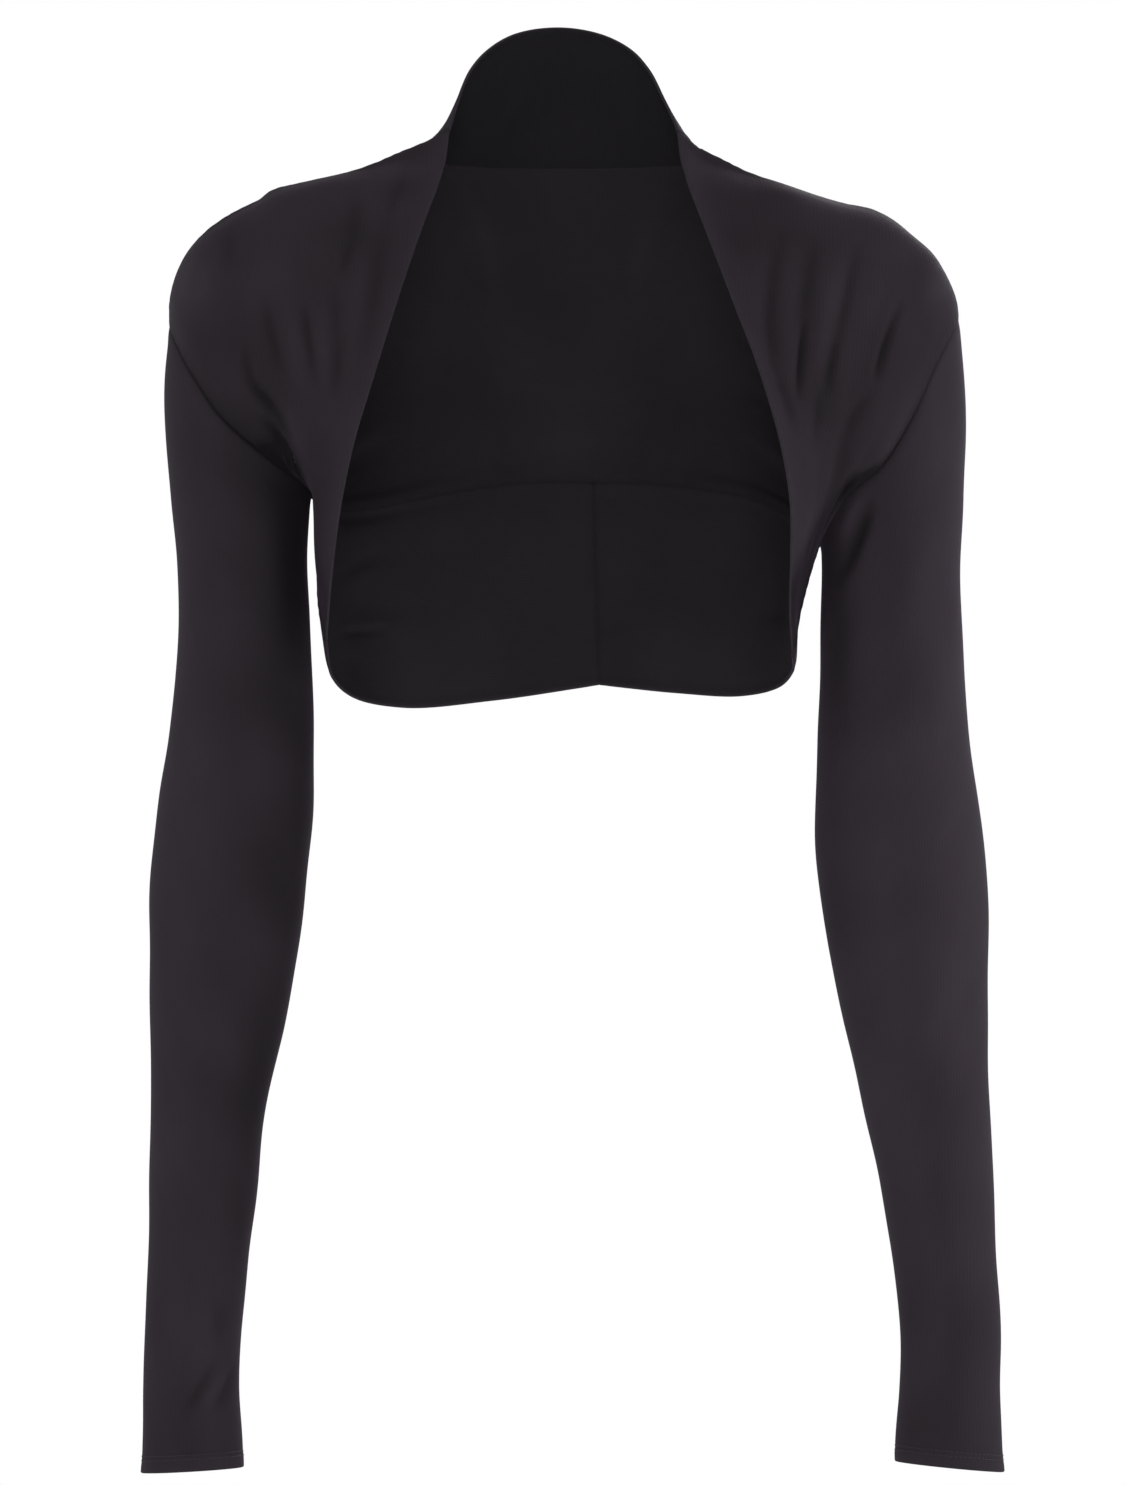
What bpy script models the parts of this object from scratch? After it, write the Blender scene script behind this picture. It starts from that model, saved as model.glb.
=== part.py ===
"""Knitted shrug in fine jersey: two gathered fronts, an upper back, a standing collar, a lower back
band in two halves and two long sleeves. It is hollow, and filled out as when it is worn.

Metres, +Z up, the front at -Y. The origin is at the base of the neck, between the shoulders. Sizes
and tables are in millimetres. Right and left are the wearer's, and the right side is at -X.
"""

from collections import namedtuple

import bpy
import numpy as np

MM = 0.001

# ---- driving dimensions, in millimetres ----

WALL = 1.2  # one layer of jersey, with the air that its soft knit holds
SEAM_GAP = 0.3  # between two pieces that a seam joins
SEAM_STRIP = 2.0  # the narrow strip beside a seam, which both of its sides leave in line
SKEW_LIMIT = 3  # how much further a slanting corner may be set back than a square one

RIGHT, LEFT = -1, 1  # the sign of X on each side
SIDE_NAMES = {RIGHT: "right", LEFT: "left"}

ARMHOLE_STEPS = 14  # along the front half of an armhole seam, and along the back half
SHOULDER_STEPS = 9  # across the back, along one shoulder seam
FRONT_SHARE = 2  # a front's steps along a seam, for each one that its neighbour has
COLLAR_END_STEPS = 3  # across a front, along the collar's end
NECK_STEPS = 18  # along the neck seam, on the back and on the collar
BAND_STEPS = SHOULDER_STEPS + NECK_STEPS // 2  # round one half of the band, and above it on the back
BAND_ROWS = 16
COLLAR_ROWS = 5
SLEEVE_ROWS = 20

# The sleeve's sections, from the shoulder down: its outer and inner side measured out from the
# middle of the body, how far back its middle lies, and half its depth from front to back.
Section = namedtuple("Section", "up outer inner back half_depth")
SLEEVE = {
    RIGHT: [
        Section(-60, 218.5, 141.3, 6, 49),
        Section(-104, 220.1, 141.3, 6, 49),
        Section(-137, 219.6, 141.3, 6, 48),
        Section(-170, 216.8, 141.6, 6, 46),
        Section(-203, 214.6, 143.0, 6, 44),
        Section(-236, 213.6, 141.6, 5, 43),
        Section(-269, 215.6, 139.9, 4, 42),
        Section(-302, 219.5, 139.2, 2, 42),
        Section(-335, 224.6, 139.4, -1, 41),
        Section(-368, 228.2, 141.7, -5, 40),
        Section(-412, 228.4, 146.3, -11, 38),
        Section(-455, 227.9, 154.1, -17, 36),
        Section(-499, 226.8, 163.0, -23, 34),
        Section(-542, 226.8, 168.6, -29, 32),
        Section(-585, 227.2, 173.1, -35, 30),
        Section(-627, 229.0, 176.4, -41, 28),
        Section(-654, 228.6, 177.3, -44, 27),
        Section(-683, 228.8, 175.0, -47, 27),
        Section(-700, 229.9, 174.6, -49, 28),
    ],
    LEFT: [
        Section(-60, 214.9, 139.0, 6, 49),
        Section(-104, 218.6, 139.0, 6, 49),
        Section(-137, 219.5, 139.0, 6, 48),
        Section(-170, 218.0, 139.2, 6, 46),
        Section(-203, 216.9, 140.3, 6, 44),
        Section(-236, 217.4, 140.0, 5, 43),
        Section(-269, 219.0, 139.4, 4, 42),
        Section(-302, 221.4, 138.1, 2, 42),
        Section(-335, 226.0, 136.6, -1, 41),
        Section(-368, 229.4, 137.2, -5, 40),
        Section(-412, 230.6, 142.4, -11, 38),
        Section(-455, 230.0, 151.4, -17, 36),
        Section(-499, 230.2, 160.8, -23, 34),
        Section(-542, 231.6, 169.6, -29, 32),
        Section(-585, 233.2, 176.8, -35, 30),
        Section(-627, 234.8, 180.2, -41, 28),
        Section(-654, 233.4, 179.7, -44, 27),
        Section(-683, 234.9, 177.0, -47, 27),
        Section(-700, 235.8, 177.4, -49, 28),
    ],
}
# The height of the wrist's edge at the sleeve's outer and inner side.
WRIST = {RIGHT: (-697.5, -694.5), LEFT: (-697.0, -691.5)}

# The armhole seam's height round the sleeve, in degrees from its outer side to the armpit. It is the
# same at the front and at the back.
Armhole = namedtuple("Armhole", "around right left")
LEVEL_END = 0.1  # the share of a panel beside an armhole over which it falls in with the sleeve
# Where, in radians round the armhole, the body's cloth stops going on in line with the sleeve.
TURN_START = 1.7
TURN_END = 2.5
ARMHOLE = [
    Armhole(0, -75, -72),
    Armhole(30, -84, -79),
    Armhole(57, -105, -100),
    Armhole(78, -125, -127),
    Armhole(100, -140, -153),
    Armhole(126, -153, -167),
    Armhole(152, -161, -182),
    Armhole(180, -169, -195),
]

# Points along the edges and seams on each side: how far out from the middle, back and up.
Point = namedtuple("Point", "out back up")
# From the collar's end down the front and under the arm, to where the hem begins.
OPENING_EDGE = {
    RIGHT: [
        Point(65.7, 10, 35.4),
        Point(67.5, -8, 15.5),
        Point(70.4, -22, 2.8),
        Point(77.9, -43, -21.3),
        Point(91.7, -67, -66.9),
        Point(104.6, -77, -110.5),
        Point(114.3, -76, -142.5),
        Point(122.2, -67, -176.2),
        Point(126.8, -51, -201.2),
        Point(130.5, -30, -224.0),
        Point(134.5, 6, -248.0),
    ],
    LEFT: [
        Point(62.0, 10, 34.9),
        Point(63.6, -8, 15.5),
        Point(66.5, -22, 2.8),
        Point(74.1, -43, -21.3),
        Point(89.8, -69, -67.1),
        Point(105.4, -79, -110.7),
        Point(114.7, -76, -142.5),
        Point(120.8, -64, -173.9),
        Point(122.4, -45, -204.0),
        Point(123.2, -22, -231.6),
        Point(126.3, 6, -257.3),
    ],
}
# From the neck seam's end over the shoulder. The armhole seam's top comes last.
SHOULDER_SEAM = {
    RIGHT: [
        Point(79.5, 14, 27.9),
        Point(90.0, 12, 23.4),
        Point(107.7, 11, 15.5),
        Point(122.0, 10, 10.4),
        Point(140.2, 10, 6.7),
        Point(162.9, 10, 2.4),
        Point(175.0, 9, -6.2),
        Point(191.6, 8, -15.4),
        Point(204.3, 7, -26.8),
        Point(214.0, 6, -45.0),
    ],
    LEFT: [
        Point(73.0, 14, 25.0),
        Point(82.8, 12, 20.0),
        Point(100.0, 11, 11.1),
        Point(124.2, 10, 2.3),
        Point(153.5, 10, -6.8),
        Point(168.0, 10, -9.2),
        Point(180.6, 9, -15.8),
        Point(193.8, 8, -26.8),
        Point(209.0, 6, -47.0),
    ],
}
# Between the armpit and the hem.
SIDE_SEAM = {
    RIGHT: [Point(136.2, 3, -177), Point(135.8, 3, -190), Point(138.0, 3, -207), Point(137.8, 4, -226)],
    LEFT: [Point(136.2, 3, -206), Point(131.6, 4, -222), Point(128.2, 5, -237)],
}

# Points across the back, from right to left: along X, back and up.
Across = namedtuple("Across", "x back up")
NECK_SEAM = [
    Across(-78.4, 24, 24.7),
    Across(-72.5, 33, 20.2),
    Across(-52.0, 47, 18.3),
    Across(-27.0, 59, 19.0),
    Across(-2.0, 64, 19.4),
    Across(23.0, 59, 19.0),
    Across(47.0, 47, 18.3),
    Across(67.0, 33, 18.8),
    Across(72.1, 24, 21.9),
]
COLLAR_EDGE = [
    Across(-64.3, 20, 43.4),
    Across(-62.3, 29, 53.5),
    Across(-54.8, 43, 73.4),
    Across(-47.0, 52, 83.7),
    Across(-32.0, 61, 94.3),
    Across(-4.0, 67, 99.6),
    Across(22.0, 62, 94.3),
    Across(38.8, 53, 83.7),
    Across(46.4, 45, 74.0),
    Across(55.8, 32, 54.3),
    Across(59.9, 22, 44.0),
]
# The arched seam that joins the upper back to the band, and the hem. Both meet the centre-back seam.
ARCH_SEAM = {
    RIGHT: [
        Across(-137, 34, -172.5),
        Across(-126, 62, -173.5),
        Across(-110, 79, -171.0),
        Across(-84, 92, -165.0),
        Across(-50, 98, -158.5),
        Across(-14, 100, -155.0),
    ],
    LEFT: [
        Across(53, 98, -156.5),
        Across(82, 92, -160.5),
        Across(104, 82, -165.0),
        Across(122, 62, -174.0),
        Across(134, 34, -186.0),
    ],
}
HEM = {
    RIGHT: [
        Across(-132, 35, -268.5),
        Across(-118, 65, -280.5),
        Across(-94, 84, -284.5),
        Across(-42, 97, -280.3),
    ],
    LEFT: [
        Across(62, 95, -276.0),
        Across(98, 83, -278.0),
        Across(120, 57, -273.5),
        Across(127, 32, -265.5),
    ],
}
CENTRE_BACK = [Across(15.0, 100.5, -155.5), Across(16.5, 101, -210.0), Across(18.5, 98.5, -271.5)]

# How full each column of the back is, against the fullness of the armholes at its two sides.
Fullness = namedtuple("Fullness", "share factor")
BACK_FULLNESS = [
    Fullness(0.0, 1.0),
    Fullness(0.2, 0.96),
    Fullness(0.35, 0.72),
    Fullness(0.5, 0.24),
    Fullness(0.65, 0.72),
    Fullness(0.8, 0.96),
    Fullness(1.0, 1.0),
]

# Soft folds. `at` is the fold's place across a piece and `slant` how far it drifts across from its
# start to its end, `start` and `end` its reach along the piece and `width` its half width, all as
# shares of the piece. `rise` is how far it stands out in millimetres, or lies in where it's negative.
Fold = namedtuple("Fold", "at slant start end width rise")
# Across a front is from its opening edge to the armhole, and along is from the shoulder downwards.
FRONT_FOLDS = {
    RIGHT: [
        Fold(0.173, 0.010, 0.00, 0.38, 0.030, -1.6),
        Fold(0.185, -0.029, 0.38, 0.62, 0.035, -2.0),
        Fold(0.255, -0.039, 0.30, 0.60, 0.035, 1.4),
        Fold(0.321, -0.117, 0.38, 0.64, 0.035, -2.2),
        Fold(0.424, 0.000, 0.22, 0.48, 0.035, -1.8),
        Fold(0.464, -0.019, 0.34, 0.60, 0.030, 1.2),
        Fold(0.505, -0.010, 0.30, 0.62, 0.035, -2.6),
        Fold(0.573, -0.019, 0.28, 0.52, 0.035, 1.2),
        Fold(0.636, 0.019, 0.10, 0.38, 0.035, -1.8),
        Fold(0.509, -0.472, 0.44, 0.84, 0.045, -2.6),
        Fold(0.607, -0.393, 0.46, 0.80, 0.045, 1.6),
    ],
    LEFT: [
        Fold(0.187, -0.136, 0.20, 0.68, 0.033, -3.0),
        Fold(0.212, -0.078, 0.28, 0.56, 0.028, 1.6),
        Fold(0.252, -0.117, 0.28, 0.62, 0.030, -2.6),
        Fold(0.349, -0.078, 0.26, 0.58, 0.040, 1.4),
        Fold(0.465, -0.117, 0.26, 0.60, 0.040, -2.6),
        Fold(0.558, -0.058, 0.26, 0.56, 0.035, 1.2),
        Fold(0.661, -0.049, 0.28, 0.58, 0.038, -2.2),
        Fold(0.608, 0.039, 0.50, 0.66, 0.035, -1.6),
        Fold(0.871, 0.138, 0.58, 0.94, 0.045, -2.2),
    ],
}
# Across the band is from its top edge to the hem, and along is from the side seam to the centre back.
BAND_FOLDS = {
    RIGHT: [
        Fold(0.10, 0.08, 0.10, 0.62, 0.045, -2.0),
        Fold(0.36, -0.02, 0.10, 0.66, 0.045, -2.2),
        Fold(0.50, -0.04, 0.10, 0.58, 0.040, -1.8),
        Fold(0.66, -0.06, 0.12, 0.60, 0.045, -1.8),
    ],
    LEFT: [
        Fold(0.30, 0.05, 0.08, 0.46, 0.045, -1.6),
        Fold(0.55, -0.03, 0.10, 0.42, 0.045, -1.4),
    ],
}


# ---- curves through the tables ----


def cubic(knots, rows, at):
    """The rows' values at the places `at`, along a smooth curve through them at the knots."""
    knots = np.asarray(knots, dtype=float)
    rows = np.asarray(rows, dtype=float)
    slopes = np.gradient(rows, knots, axis=0)
    before = np.clip(np.searchsorted(knots, at, side="right") - 1, 0, len(knots) - 2)
    span = (knots[before + 1] - knots[before])[..., None]
    t = (at - knots[before])[..., None] / span
    start = (1 + 2 * t) * rows[before] + t * span * slopes[before]
    end = (3 - 2 * t) * rows[before + 1] - (1 - t) * span * slopes[before + 1]
    return (1 - t) ** 2 * start + t**2 * end


def along(points, shares):
    """Points at shares of the length of a smooth curve through the points."""
    points = np.asarray(points, dtype=float)
    lengths = np.linalg.norm(np.diff(points, axis=0), axis=1)
    knots = np.append(0, np.cumsum(lengths)) / lengths.sum()
    return cubic(knots, points, np.asarray(shares, dtype=float))


def finer(points):
    """The same straight-sided line of points, in FRONT_SHARE times as many steps."""
    steps = len(points) - 1
    places = np.linspace(0, steps, steps * FRONT_SHARE + 1)
    return np.transpose([np.interp(places, range(steps + 1), column) for column in np.transpose(points)])


def unit(vectors):
    """The vectors, each of length 1."""
    return vectors / np.maximum(np.linalg.norm(vectors, axis=-1), 1e-9)[..., None]


def on_side(side, points):
    """A side's table in X, Y and Z."""
    return [(side * p.out, p.back, p.up) for p in points]


# ---- the sleeve, and the armhole seam round its top ----


def on_sleeve(side, around, up):
    """Points on a sleeve's outer face. `around` goes in radians from its outer side to its front.
    Each section is square to the arm, so below the elbow it tilts."""
    table = SLEEVE[side][::-1]
    heights = [section.up for section in table]
    outer, inner, back, half_depth = np.moveaxis(cubic(heights, [s[1:] for s in table], up), -1, 0)
    lean = np.interp(up, heights, np.gradient([s.back for s in table], heights))
    x = side * ((outer + inner) / 2 + (outer - inner) / 2 * np.cos(around))
    forward = half_depth * np.sin(around)
    return np.stack([x, back - forward, up + lean * forward], axis=-1)


def armhole_heights(side, around):
    """The armhole seam's height. It is level at its top and at the armpit."""
    degrees = np.degrees(around) % 360
    from_outer = np.minimum(degrees, 360 - degrees)
    angles = [-row.around for row in ARMHOLE[2:0:-1]] + [row.around for row in ARMHOLE]
    angles += [360 - row.around for row in ARMHOLE[-2:-4:-1]]
    column = [getattr(row, SIDE_NAMES[side]) for row in ARMHOLE]
    heights = column[2:0:-1] + column + column[-2:-4:-1]
    return cubic(angles, np.array(heights)[:, None], from_outer)[..., 0]


def armhole(side, front):
    """The body's edge of the armhole seam, from its top to the armpit, and the way in which the
    body's cloth leaves it. The edge lies a seam's gap inside the sleeve's own edge. The cloth goes
    on in line with the sleeve, but at the armpit it turns down beside it."""
    turn = np.linspace(0, np.pi, ARMHOLE_STEPS + 1)
    around = turn if front else -turn
    heights = armhole_heights(side, around)
    loop = on_sleeve(side, around, heights)
    below = on_sleeve(side, around, heights - SEAM_STRIP)
    course = np.gradient(loop, axis=0)
    down = below - loop
    leaving = unit(course * np.sum(down * course, axis=1)[:, None] / np.sum(course**2, axis=1)[:, None] - down)
    in_line = np.clip((TURN_END - turn) / (TURN_END - TURN_START), 0, 1)[:, None]
    across = loop[-1] - loop[0]
    inward = unit(np.array([-side * abs(across[2]), 0, abs(across[0])]))
    return loop + SEAM_GAP * inward, leaving * in_line


# ---- cloth panels between four edges ----


def panel(top, foot, first, last, fullness=None, level=None):
    """A panel's points in rows, from its top edge to its foot, between its first and last edges.
    `fullness` scales how far the inner columns stand out as the side edges do. `level` is how far
    each column leaves the top edge square to it, as cloth does that lies over a shoulder."""
    v = np.linspace(0, 1, len(first))[:, None, None]
    u = np.linspace(0, 1, len(top))[None, :, None]
    if fullness is None:
        fullness = np.ones(len(top))
    straight = (1 - v) * top + v * foot
    out_first = (first - straight[:, 0])[:, None]
    out_last = (last - straight[:, -1])[:, None]
    points = straight + fullness[None, :, None] * ((1 - u) * out_first + u * out_last)
    if level is not None:
        course = np.gradient(top, axis=0)
        up = unit(np.stack([-course[:, 2], np.zeros(len(top)), course[:, 0]], axis=-1))
        leaving = (points[1] - points[0]) * (len(first) - 1)
        sinking = np.sum(leaving * up, axis=1)[:, None] * up
        points = points - (v * (1 - v) ** 2) * level[None, :, None] * sinking
    return points


def outward(points, inside_out):
    """The unit normal at each point of a panel."""
    down = np.gradient(points, axis=0)
    across = np.gradient(points, axis=1)
    return unit(np.cross(down, across) * (-1 if inside_out else 1))


def folded(points, folds, inside_out):
    """The panel with its soft folds, which run along its rows."""
    rows, columns = points.shape[:2]
    v = np.linspace(0, 1, rows)[:, None]
    u = np.linspace(0, 1, columns)[None, :]
    rise = np.zeros((rows, columns))
    for fold in folds:
        share = np.clip((v - fold.start) / (fold.end - fold.start), 0, 1)
        off = u - fold.at - fold.slant * (share - 0.5)
        rise += fold.rise * np.sin(np.pi * share) ** 2 * np.exp(-((off / fold.width) ** 2))
    return points + rise[:, :, None] * outward(points, inside_out)


def sewn(points, edge, leaving=None, set_back=SEAM_GAP / 2):
    """The panel with one edge set back for a seam, and a narrow strip beside it that leaves the seam
    in the given direction. Where that is nothing, the strip follows the panel. At the edge's two ends
    it always does, and is longer where the corner slants, up to SKEW_LIMIT."""
    flipped = edge in ("foot", "last")
    if edge in ("first", "last"):
        points = points.transpose(1, 0, 2)
    if flipped:
        points = points[::-1]
    own = unit(points[1] - points[0])
    leaving = own if leaving is None else np.broadcast_to(leaving, own.shape)
    held = np.linalg.norm(leaving, axis=1)[:, None]
    leaving = unit(leaving + (1 - held) * own)
    leaving[[0, -1]] = own[[0, -1]]
    course = unit(np.gradient(points[0], axis=0))
    square = leaving - np.sum(leaving * course, axis=1)[:, None] * course
    skew = np.maximum(np.linalg.norm(square, axis=1), 1 / SKEW_LIMIT)[:, None]
    leaving = leaving / skew
    leaving[1:-1] = unit(square[1:-1])
    strip = [points[0] + set_back * leaving, points[0] + (set_back + SEAM_STRIP) * leaving]
    points = np.concatenate([strip, points[1:]])
    if flipped:
        points = points[::-1]
    return points.transpose(1, 0, 2) if edge in ("first", "last") else points


# ---- meshes ----


def jersey(name, colour):
    """Fine jersey in near-black charcoal. `colour` is linear."""
    material = bpy.data.materials.new(name)
    material.use_nodes = True
    surface = material.node_tree.nodes["Principled BSDF"]
    surface.inputs["Base Color"].default_value = (*colour, 1)
    surface.inputs["Roughness"].default_value = 0.9
    surface.inputs["Metallic"].default_value = 0
    material.diffuse_color = (*colour, 1)
    return material


def cloth(name, points, inside_out=False, closed=False, colour=(0.021, 0.017, 0.021)):
    """One cut piece: a wall of jersey whose outer face has these points, in rows."""
    rows, columns = points.shape[:2]
    faces = []
    for row in range(rows - 1):
        for column in range(columns if closed else columns - 1):
            beside = (column + 1) % columns
            corners = [(row, column), (row + 1, column), (row + 1, beside), (row, beside)]
            face = [r * columns + c for r, c in corners]
            faces.append(face[::-1] if inside_out else face)
    mesh = bpy.data.meshes.new(name)
    mesh.from_pydata((points.reshape(-1, 3) * MM).tolist(), [], faces)
    mesh.shade_smooth()
    mesh.materials.append(jersey(f"{name}_jersey", colour))
    piece = bpy.data.objects.new(name, mesh)
    wall = piece.modifiers.new("wall", "SOLIDIFY")
    wall.thickness = WALL * MM
    wall.offset = -1
    shrug.objects.link(piece)
    return piece


# ---- the pieces ----

FORWARD, BACKWARD = np.array([0, -1, 0]), np.array([0, 1, 0])
UPWARD, DOWNWARD = np.array([0, 0, 1]), np.array([0, 0, -1])


def make_sleeve(side):
    around = np.linspace(0, 2 * np.pi, 2 * ARMHOLE_STEPS, endpoint=False)[None, :]
    share = np.linspace(0, 1, SLEEVE_ROWS + 1)[:, None]
    top = armhole_heights(side, around)
    outer, inner = WRIST[side]
    wrist = (outer + inner) / 2 + (outer - inner) / 2 * np.cos(around)
    up = top + (wrist - top) * share
    up = np.insert(up, 1, top - SEAM_STRIP, axis=0)
    points = on_sleeve(side, np.broadcast_to(around, up.shape), up)
    cloth(f"sleeve_{SIDE_NAMES[side]}", points, inside_out=side == LEFT, closed=True)


def make_front(side):
    opening = on_side(side, OPENING_EDGE[side])
    last, leaving_armhole = [finer(rows) for rows in armhole(side, front=True)]
    top = top_of_front(side, last[0])
    shares = np.linspace(0, 1, len(top))
    foot = along(opening[-1:] + on_side(side, SIDE_SEAM[side])[::-1] + [last[-1]], shares)
    first = along(opening, np.linspace(0, 1, len(last)))
    level = np.clip((shares - 0.05) / 0.25, 0, 1) * np.clip((1 - shares) / LEVEL_END, 0, 1)
    inside_out = side == RIGHT
    points = folded(panel(top, foot, first, last, level=level), FRONT_FOLDS[side], inside_out)
    points = sewn(points, "last", leaving_armhole, set_back=0)
    points = sewn(points, "top", leaving_collar_end(side, points[0]))
    points = sewn(points, "foot", FORWARD)
    cloth(f"front_{SIDE_NAMES[side]}", points, inside_out)


def shoulder_seam(side, armhole_top):
    """The shoulder seam's points, from the neck to the top of the armhole."""
    return along(on_side(side, SHOULDER_SEAM[side]) + [armhole_top], np.linspace(0, 1, SHOULDER_STEPS + 1))


def top_of_front(side, armhole_top):
    """A front's top edge: the collar's end, then the shoulder seam in finer steps than the back's."""
    seam = shoulder_seam(side, armhole_top)
    collar_end = np.linspace(on_side(side, OPENING_EDGE[side])[0], seam[0], COLLAR_END_STEPS + 1)
    return np.concatenate([collar_end[:-1], finer(seam)])


def leaving_collar_end(side, seam):
    """The way in which a front leaves the points of its top seam: down the opening edge at the
    collar's end, and straight forward past the shoulder seam's start."""
    opening = np.array(on_side(side, OPENING_EDGE[side][:2]))
    start = np.array(on_side(side, SHOULDER_SEAM[side][:1]))
    share = np.linalg.norm(seam - opening[0], axis=1) / np.linalg.norm(start - opening[0])
    share = np.clip(share, 0, 1)[:, None]
    return unit(unit(opening[1] - opening[0]) * (1 - share) + FORWARD * share)


def arch_seam(side, armpit):
    """One half of the arched seam, from the armpit to the centre back. The tables go from right to
    left, so the left one is read backwards."""
    seam = [armpit] + ARCH_SEAM[side][::-side] + CENTRE_BACK[:1]
    return along(seam, np.linspace(0, 1, BAND_STEPS + 1))


def make_back():
    first, leaving_right = armhole(RIGHT, front=False)
    last, leaving_left = armhole(LEFT, front=False)
    right = shoulder_seam(RIGHT, first[0])[::-1]
    left = shoulder_seam(LEFT, last[0])
    neck = along([right[-1]] + NECK_SEAM + [left[0]], np.linspace(0, 1, NECK_STEPS + 1))
    top = np.concatenate([right, neck[1:-1], left])
    shares = np.linspace(0, 1, len(top))
    foot = np.concatenate([arch_seam(RIGHT, first[-1]), arch_seam(LEFT, last[-1])[-2::-1]])
    factors = [[row.factor] for row in BACK_FULLNESS]
    fullness = cubic([row.share for row in BACK_FULLNESS], factors, shares)[:, 0]
    on_shoulder = np.abs(np.arange(len(top)) - (len(top) - 1) / 2) >= NECK_STEPS / 2
    level = np.convolve(on_shoulder, [0.25, 0.5, 0.25], "same")
    level *= np.clip(np.minimum(shares, 1 - shares) / LEVEL_END, 0, 1)
    points = panel(top, foot, first, last, fullness, level)
    leaving_top = on_shoulder[:, None] * BACKWARD
    points = sewn(points, "top", leaving_top)
    points = sewn(points, "foot", UPWARD)
    points = sewn(points, "first", border_rows(leaving_right), set_back=0)
    points = sewn(points, "last", border_rows(leaving_left), set_back=0)
    cloth("back_panel", points, inside_out=True)


def border_rows(leaving):
    """The ways of leaving an edge, with one more near each end for the strips there."""
    return np.concatenate([leaving[:1], leaving, leaving[-1:]])


def make_collar():
    shares = np.linspace(0, 1, NECK_STEPS + 1)
    seam_ends = [on_side(side, SHOULDER_SEAM[side][:1]) for side in (RIGHT, LEFT)]
    edge_ends = [on_side(side, OPENING_EDGE[side][:1]) for side in (RIGHT, LEFT)]
    seam = along(seam_ends[0] + NECK_SEAM + seam_ends[1], shares)
    edge = along(edge_ends[0] + COLLAR_EDGE + edge_ends[1], shares)
    rows = np.linspace(0, 1, COLLAR_ROWS + 1)[:, None]
    sides = [edge[end] + (seam[end] - edge[end]) * rows for end in (0, -1)]
    points = panel(edge, seam, sides[0], sides[1])
    points = sewn(points, "first", -leaving_collar_end(RIGHT, points[:, 0]))
    points = sewn(points, "last", -leaving_collar_end(LEFT, points[:, -1]))
    points = sewn(points, "foot")
    cloth("collar", points, inside_out=True)


def make_band(side):
    armpit = armhole(side, front=True)[0][-1]
    hem_corner = on_side(side, OPENING_EDGE[side][-1:])
    rows = np.linspace(0, 1, BAND_ROWS + 1)
    top = arch_seam(side, armpit)
    foot = along(hem_corner + HEM[side][::-side] + CENTRE_BACK[-1:], np.linspace(0, 1, BAND_STEPS + 1))
    first = along([armpit] + on_side(side, SIDE_SEAM[side]) + hem_corner, rows)
    last = along(CENTRE_BACK, rows)
    inside_out = side == RIGHT
    points = panel(top, foot, first, last).transpose(1, 0, 2)
    points = folded(points, BAND_FOLDS[side], not inside_out).transpose(1, 0, 2)
    points = sewn(points, "top", DOWNWARD)
    points = sewn(points, "first", BACKWARD)
    points = sewn(points, "last", np.array([side, 0, 0]))
    cloth(f"band_{SIDE_NAMES[side]}", points, inside_out)


for old in list(bpy.data.objects):
    bpy.data.objects.remove(old)
shrug = bpy.data.collections.new("knitted_shrug")
bpy.context.scene.collection.children.link(shrug)

for body_side in (RIGHT, LEFT):
    make_front(body_side)
    make_band(body_side)
    make_sleeve(body_side)
make_back()
make_collar()
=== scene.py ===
"""A long-sleeved shrug in fine jersey, near-black charcoal, filled out as when it is worn.

Tables are in millimetres, in the frame of the solids: +Z up, the front at -Y, and the origin at the
base of the neck. Right and left are the wearer's, and the right side is at -X.
"""

import math
from collections import namedtuple

import bpy
import numpy as np
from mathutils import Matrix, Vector


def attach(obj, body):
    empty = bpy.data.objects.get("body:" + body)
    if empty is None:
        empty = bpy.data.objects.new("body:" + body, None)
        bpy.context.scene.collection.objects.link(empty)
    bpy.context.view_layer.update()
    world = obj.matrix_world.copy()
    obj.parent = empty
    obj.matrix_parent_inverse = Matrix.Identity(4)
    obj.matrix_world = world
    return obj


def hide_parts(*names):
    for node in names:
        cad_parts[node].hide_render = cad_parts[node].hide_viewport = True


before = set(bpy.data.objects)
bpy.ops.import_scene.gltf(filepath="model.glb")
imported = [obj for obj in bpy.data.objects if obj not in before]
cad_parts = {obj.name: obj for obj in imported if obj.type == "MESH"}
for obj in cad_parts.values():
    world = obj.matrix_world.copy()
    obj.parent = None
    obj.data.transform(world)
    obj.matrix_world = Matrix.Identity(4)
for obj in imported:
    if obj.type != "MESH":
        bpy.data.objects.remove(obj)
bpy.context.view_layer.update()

# ======== the studio ========
# A pale floor far below the garment and white all round, but dimmer above and at its left. Soft
# boxes at both sides make the sleeves' outer sides the lightest. Others above, low in front and
# behind show its shoulders, its length and its back, while the hollow inside stays dark.

MM = 0.001
scene = bpy.context.scene
scene.view_settings.view_transform = "Standard"

CAMERA_PLACE = (-2.5 * MM, -2550 * MM, -303.9 * MM)
LENS, SENSOR_WIDTH = 112.4, 36  # in millimetres, as cameras state them

camera_data = bpy.data.cameras.new("camera")
camera_data.sensor_width = SENSOR_WIDTH
camera_data.lens = LENS
camera = bpy.data.objects.new("camera", camera_data)
camera.location = CAMERA_PLACE
camera.rotation_euler = (math.radians(90), 0, 0)
scene.collection.objects.link(camera)
scene.camera = camera


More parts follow.
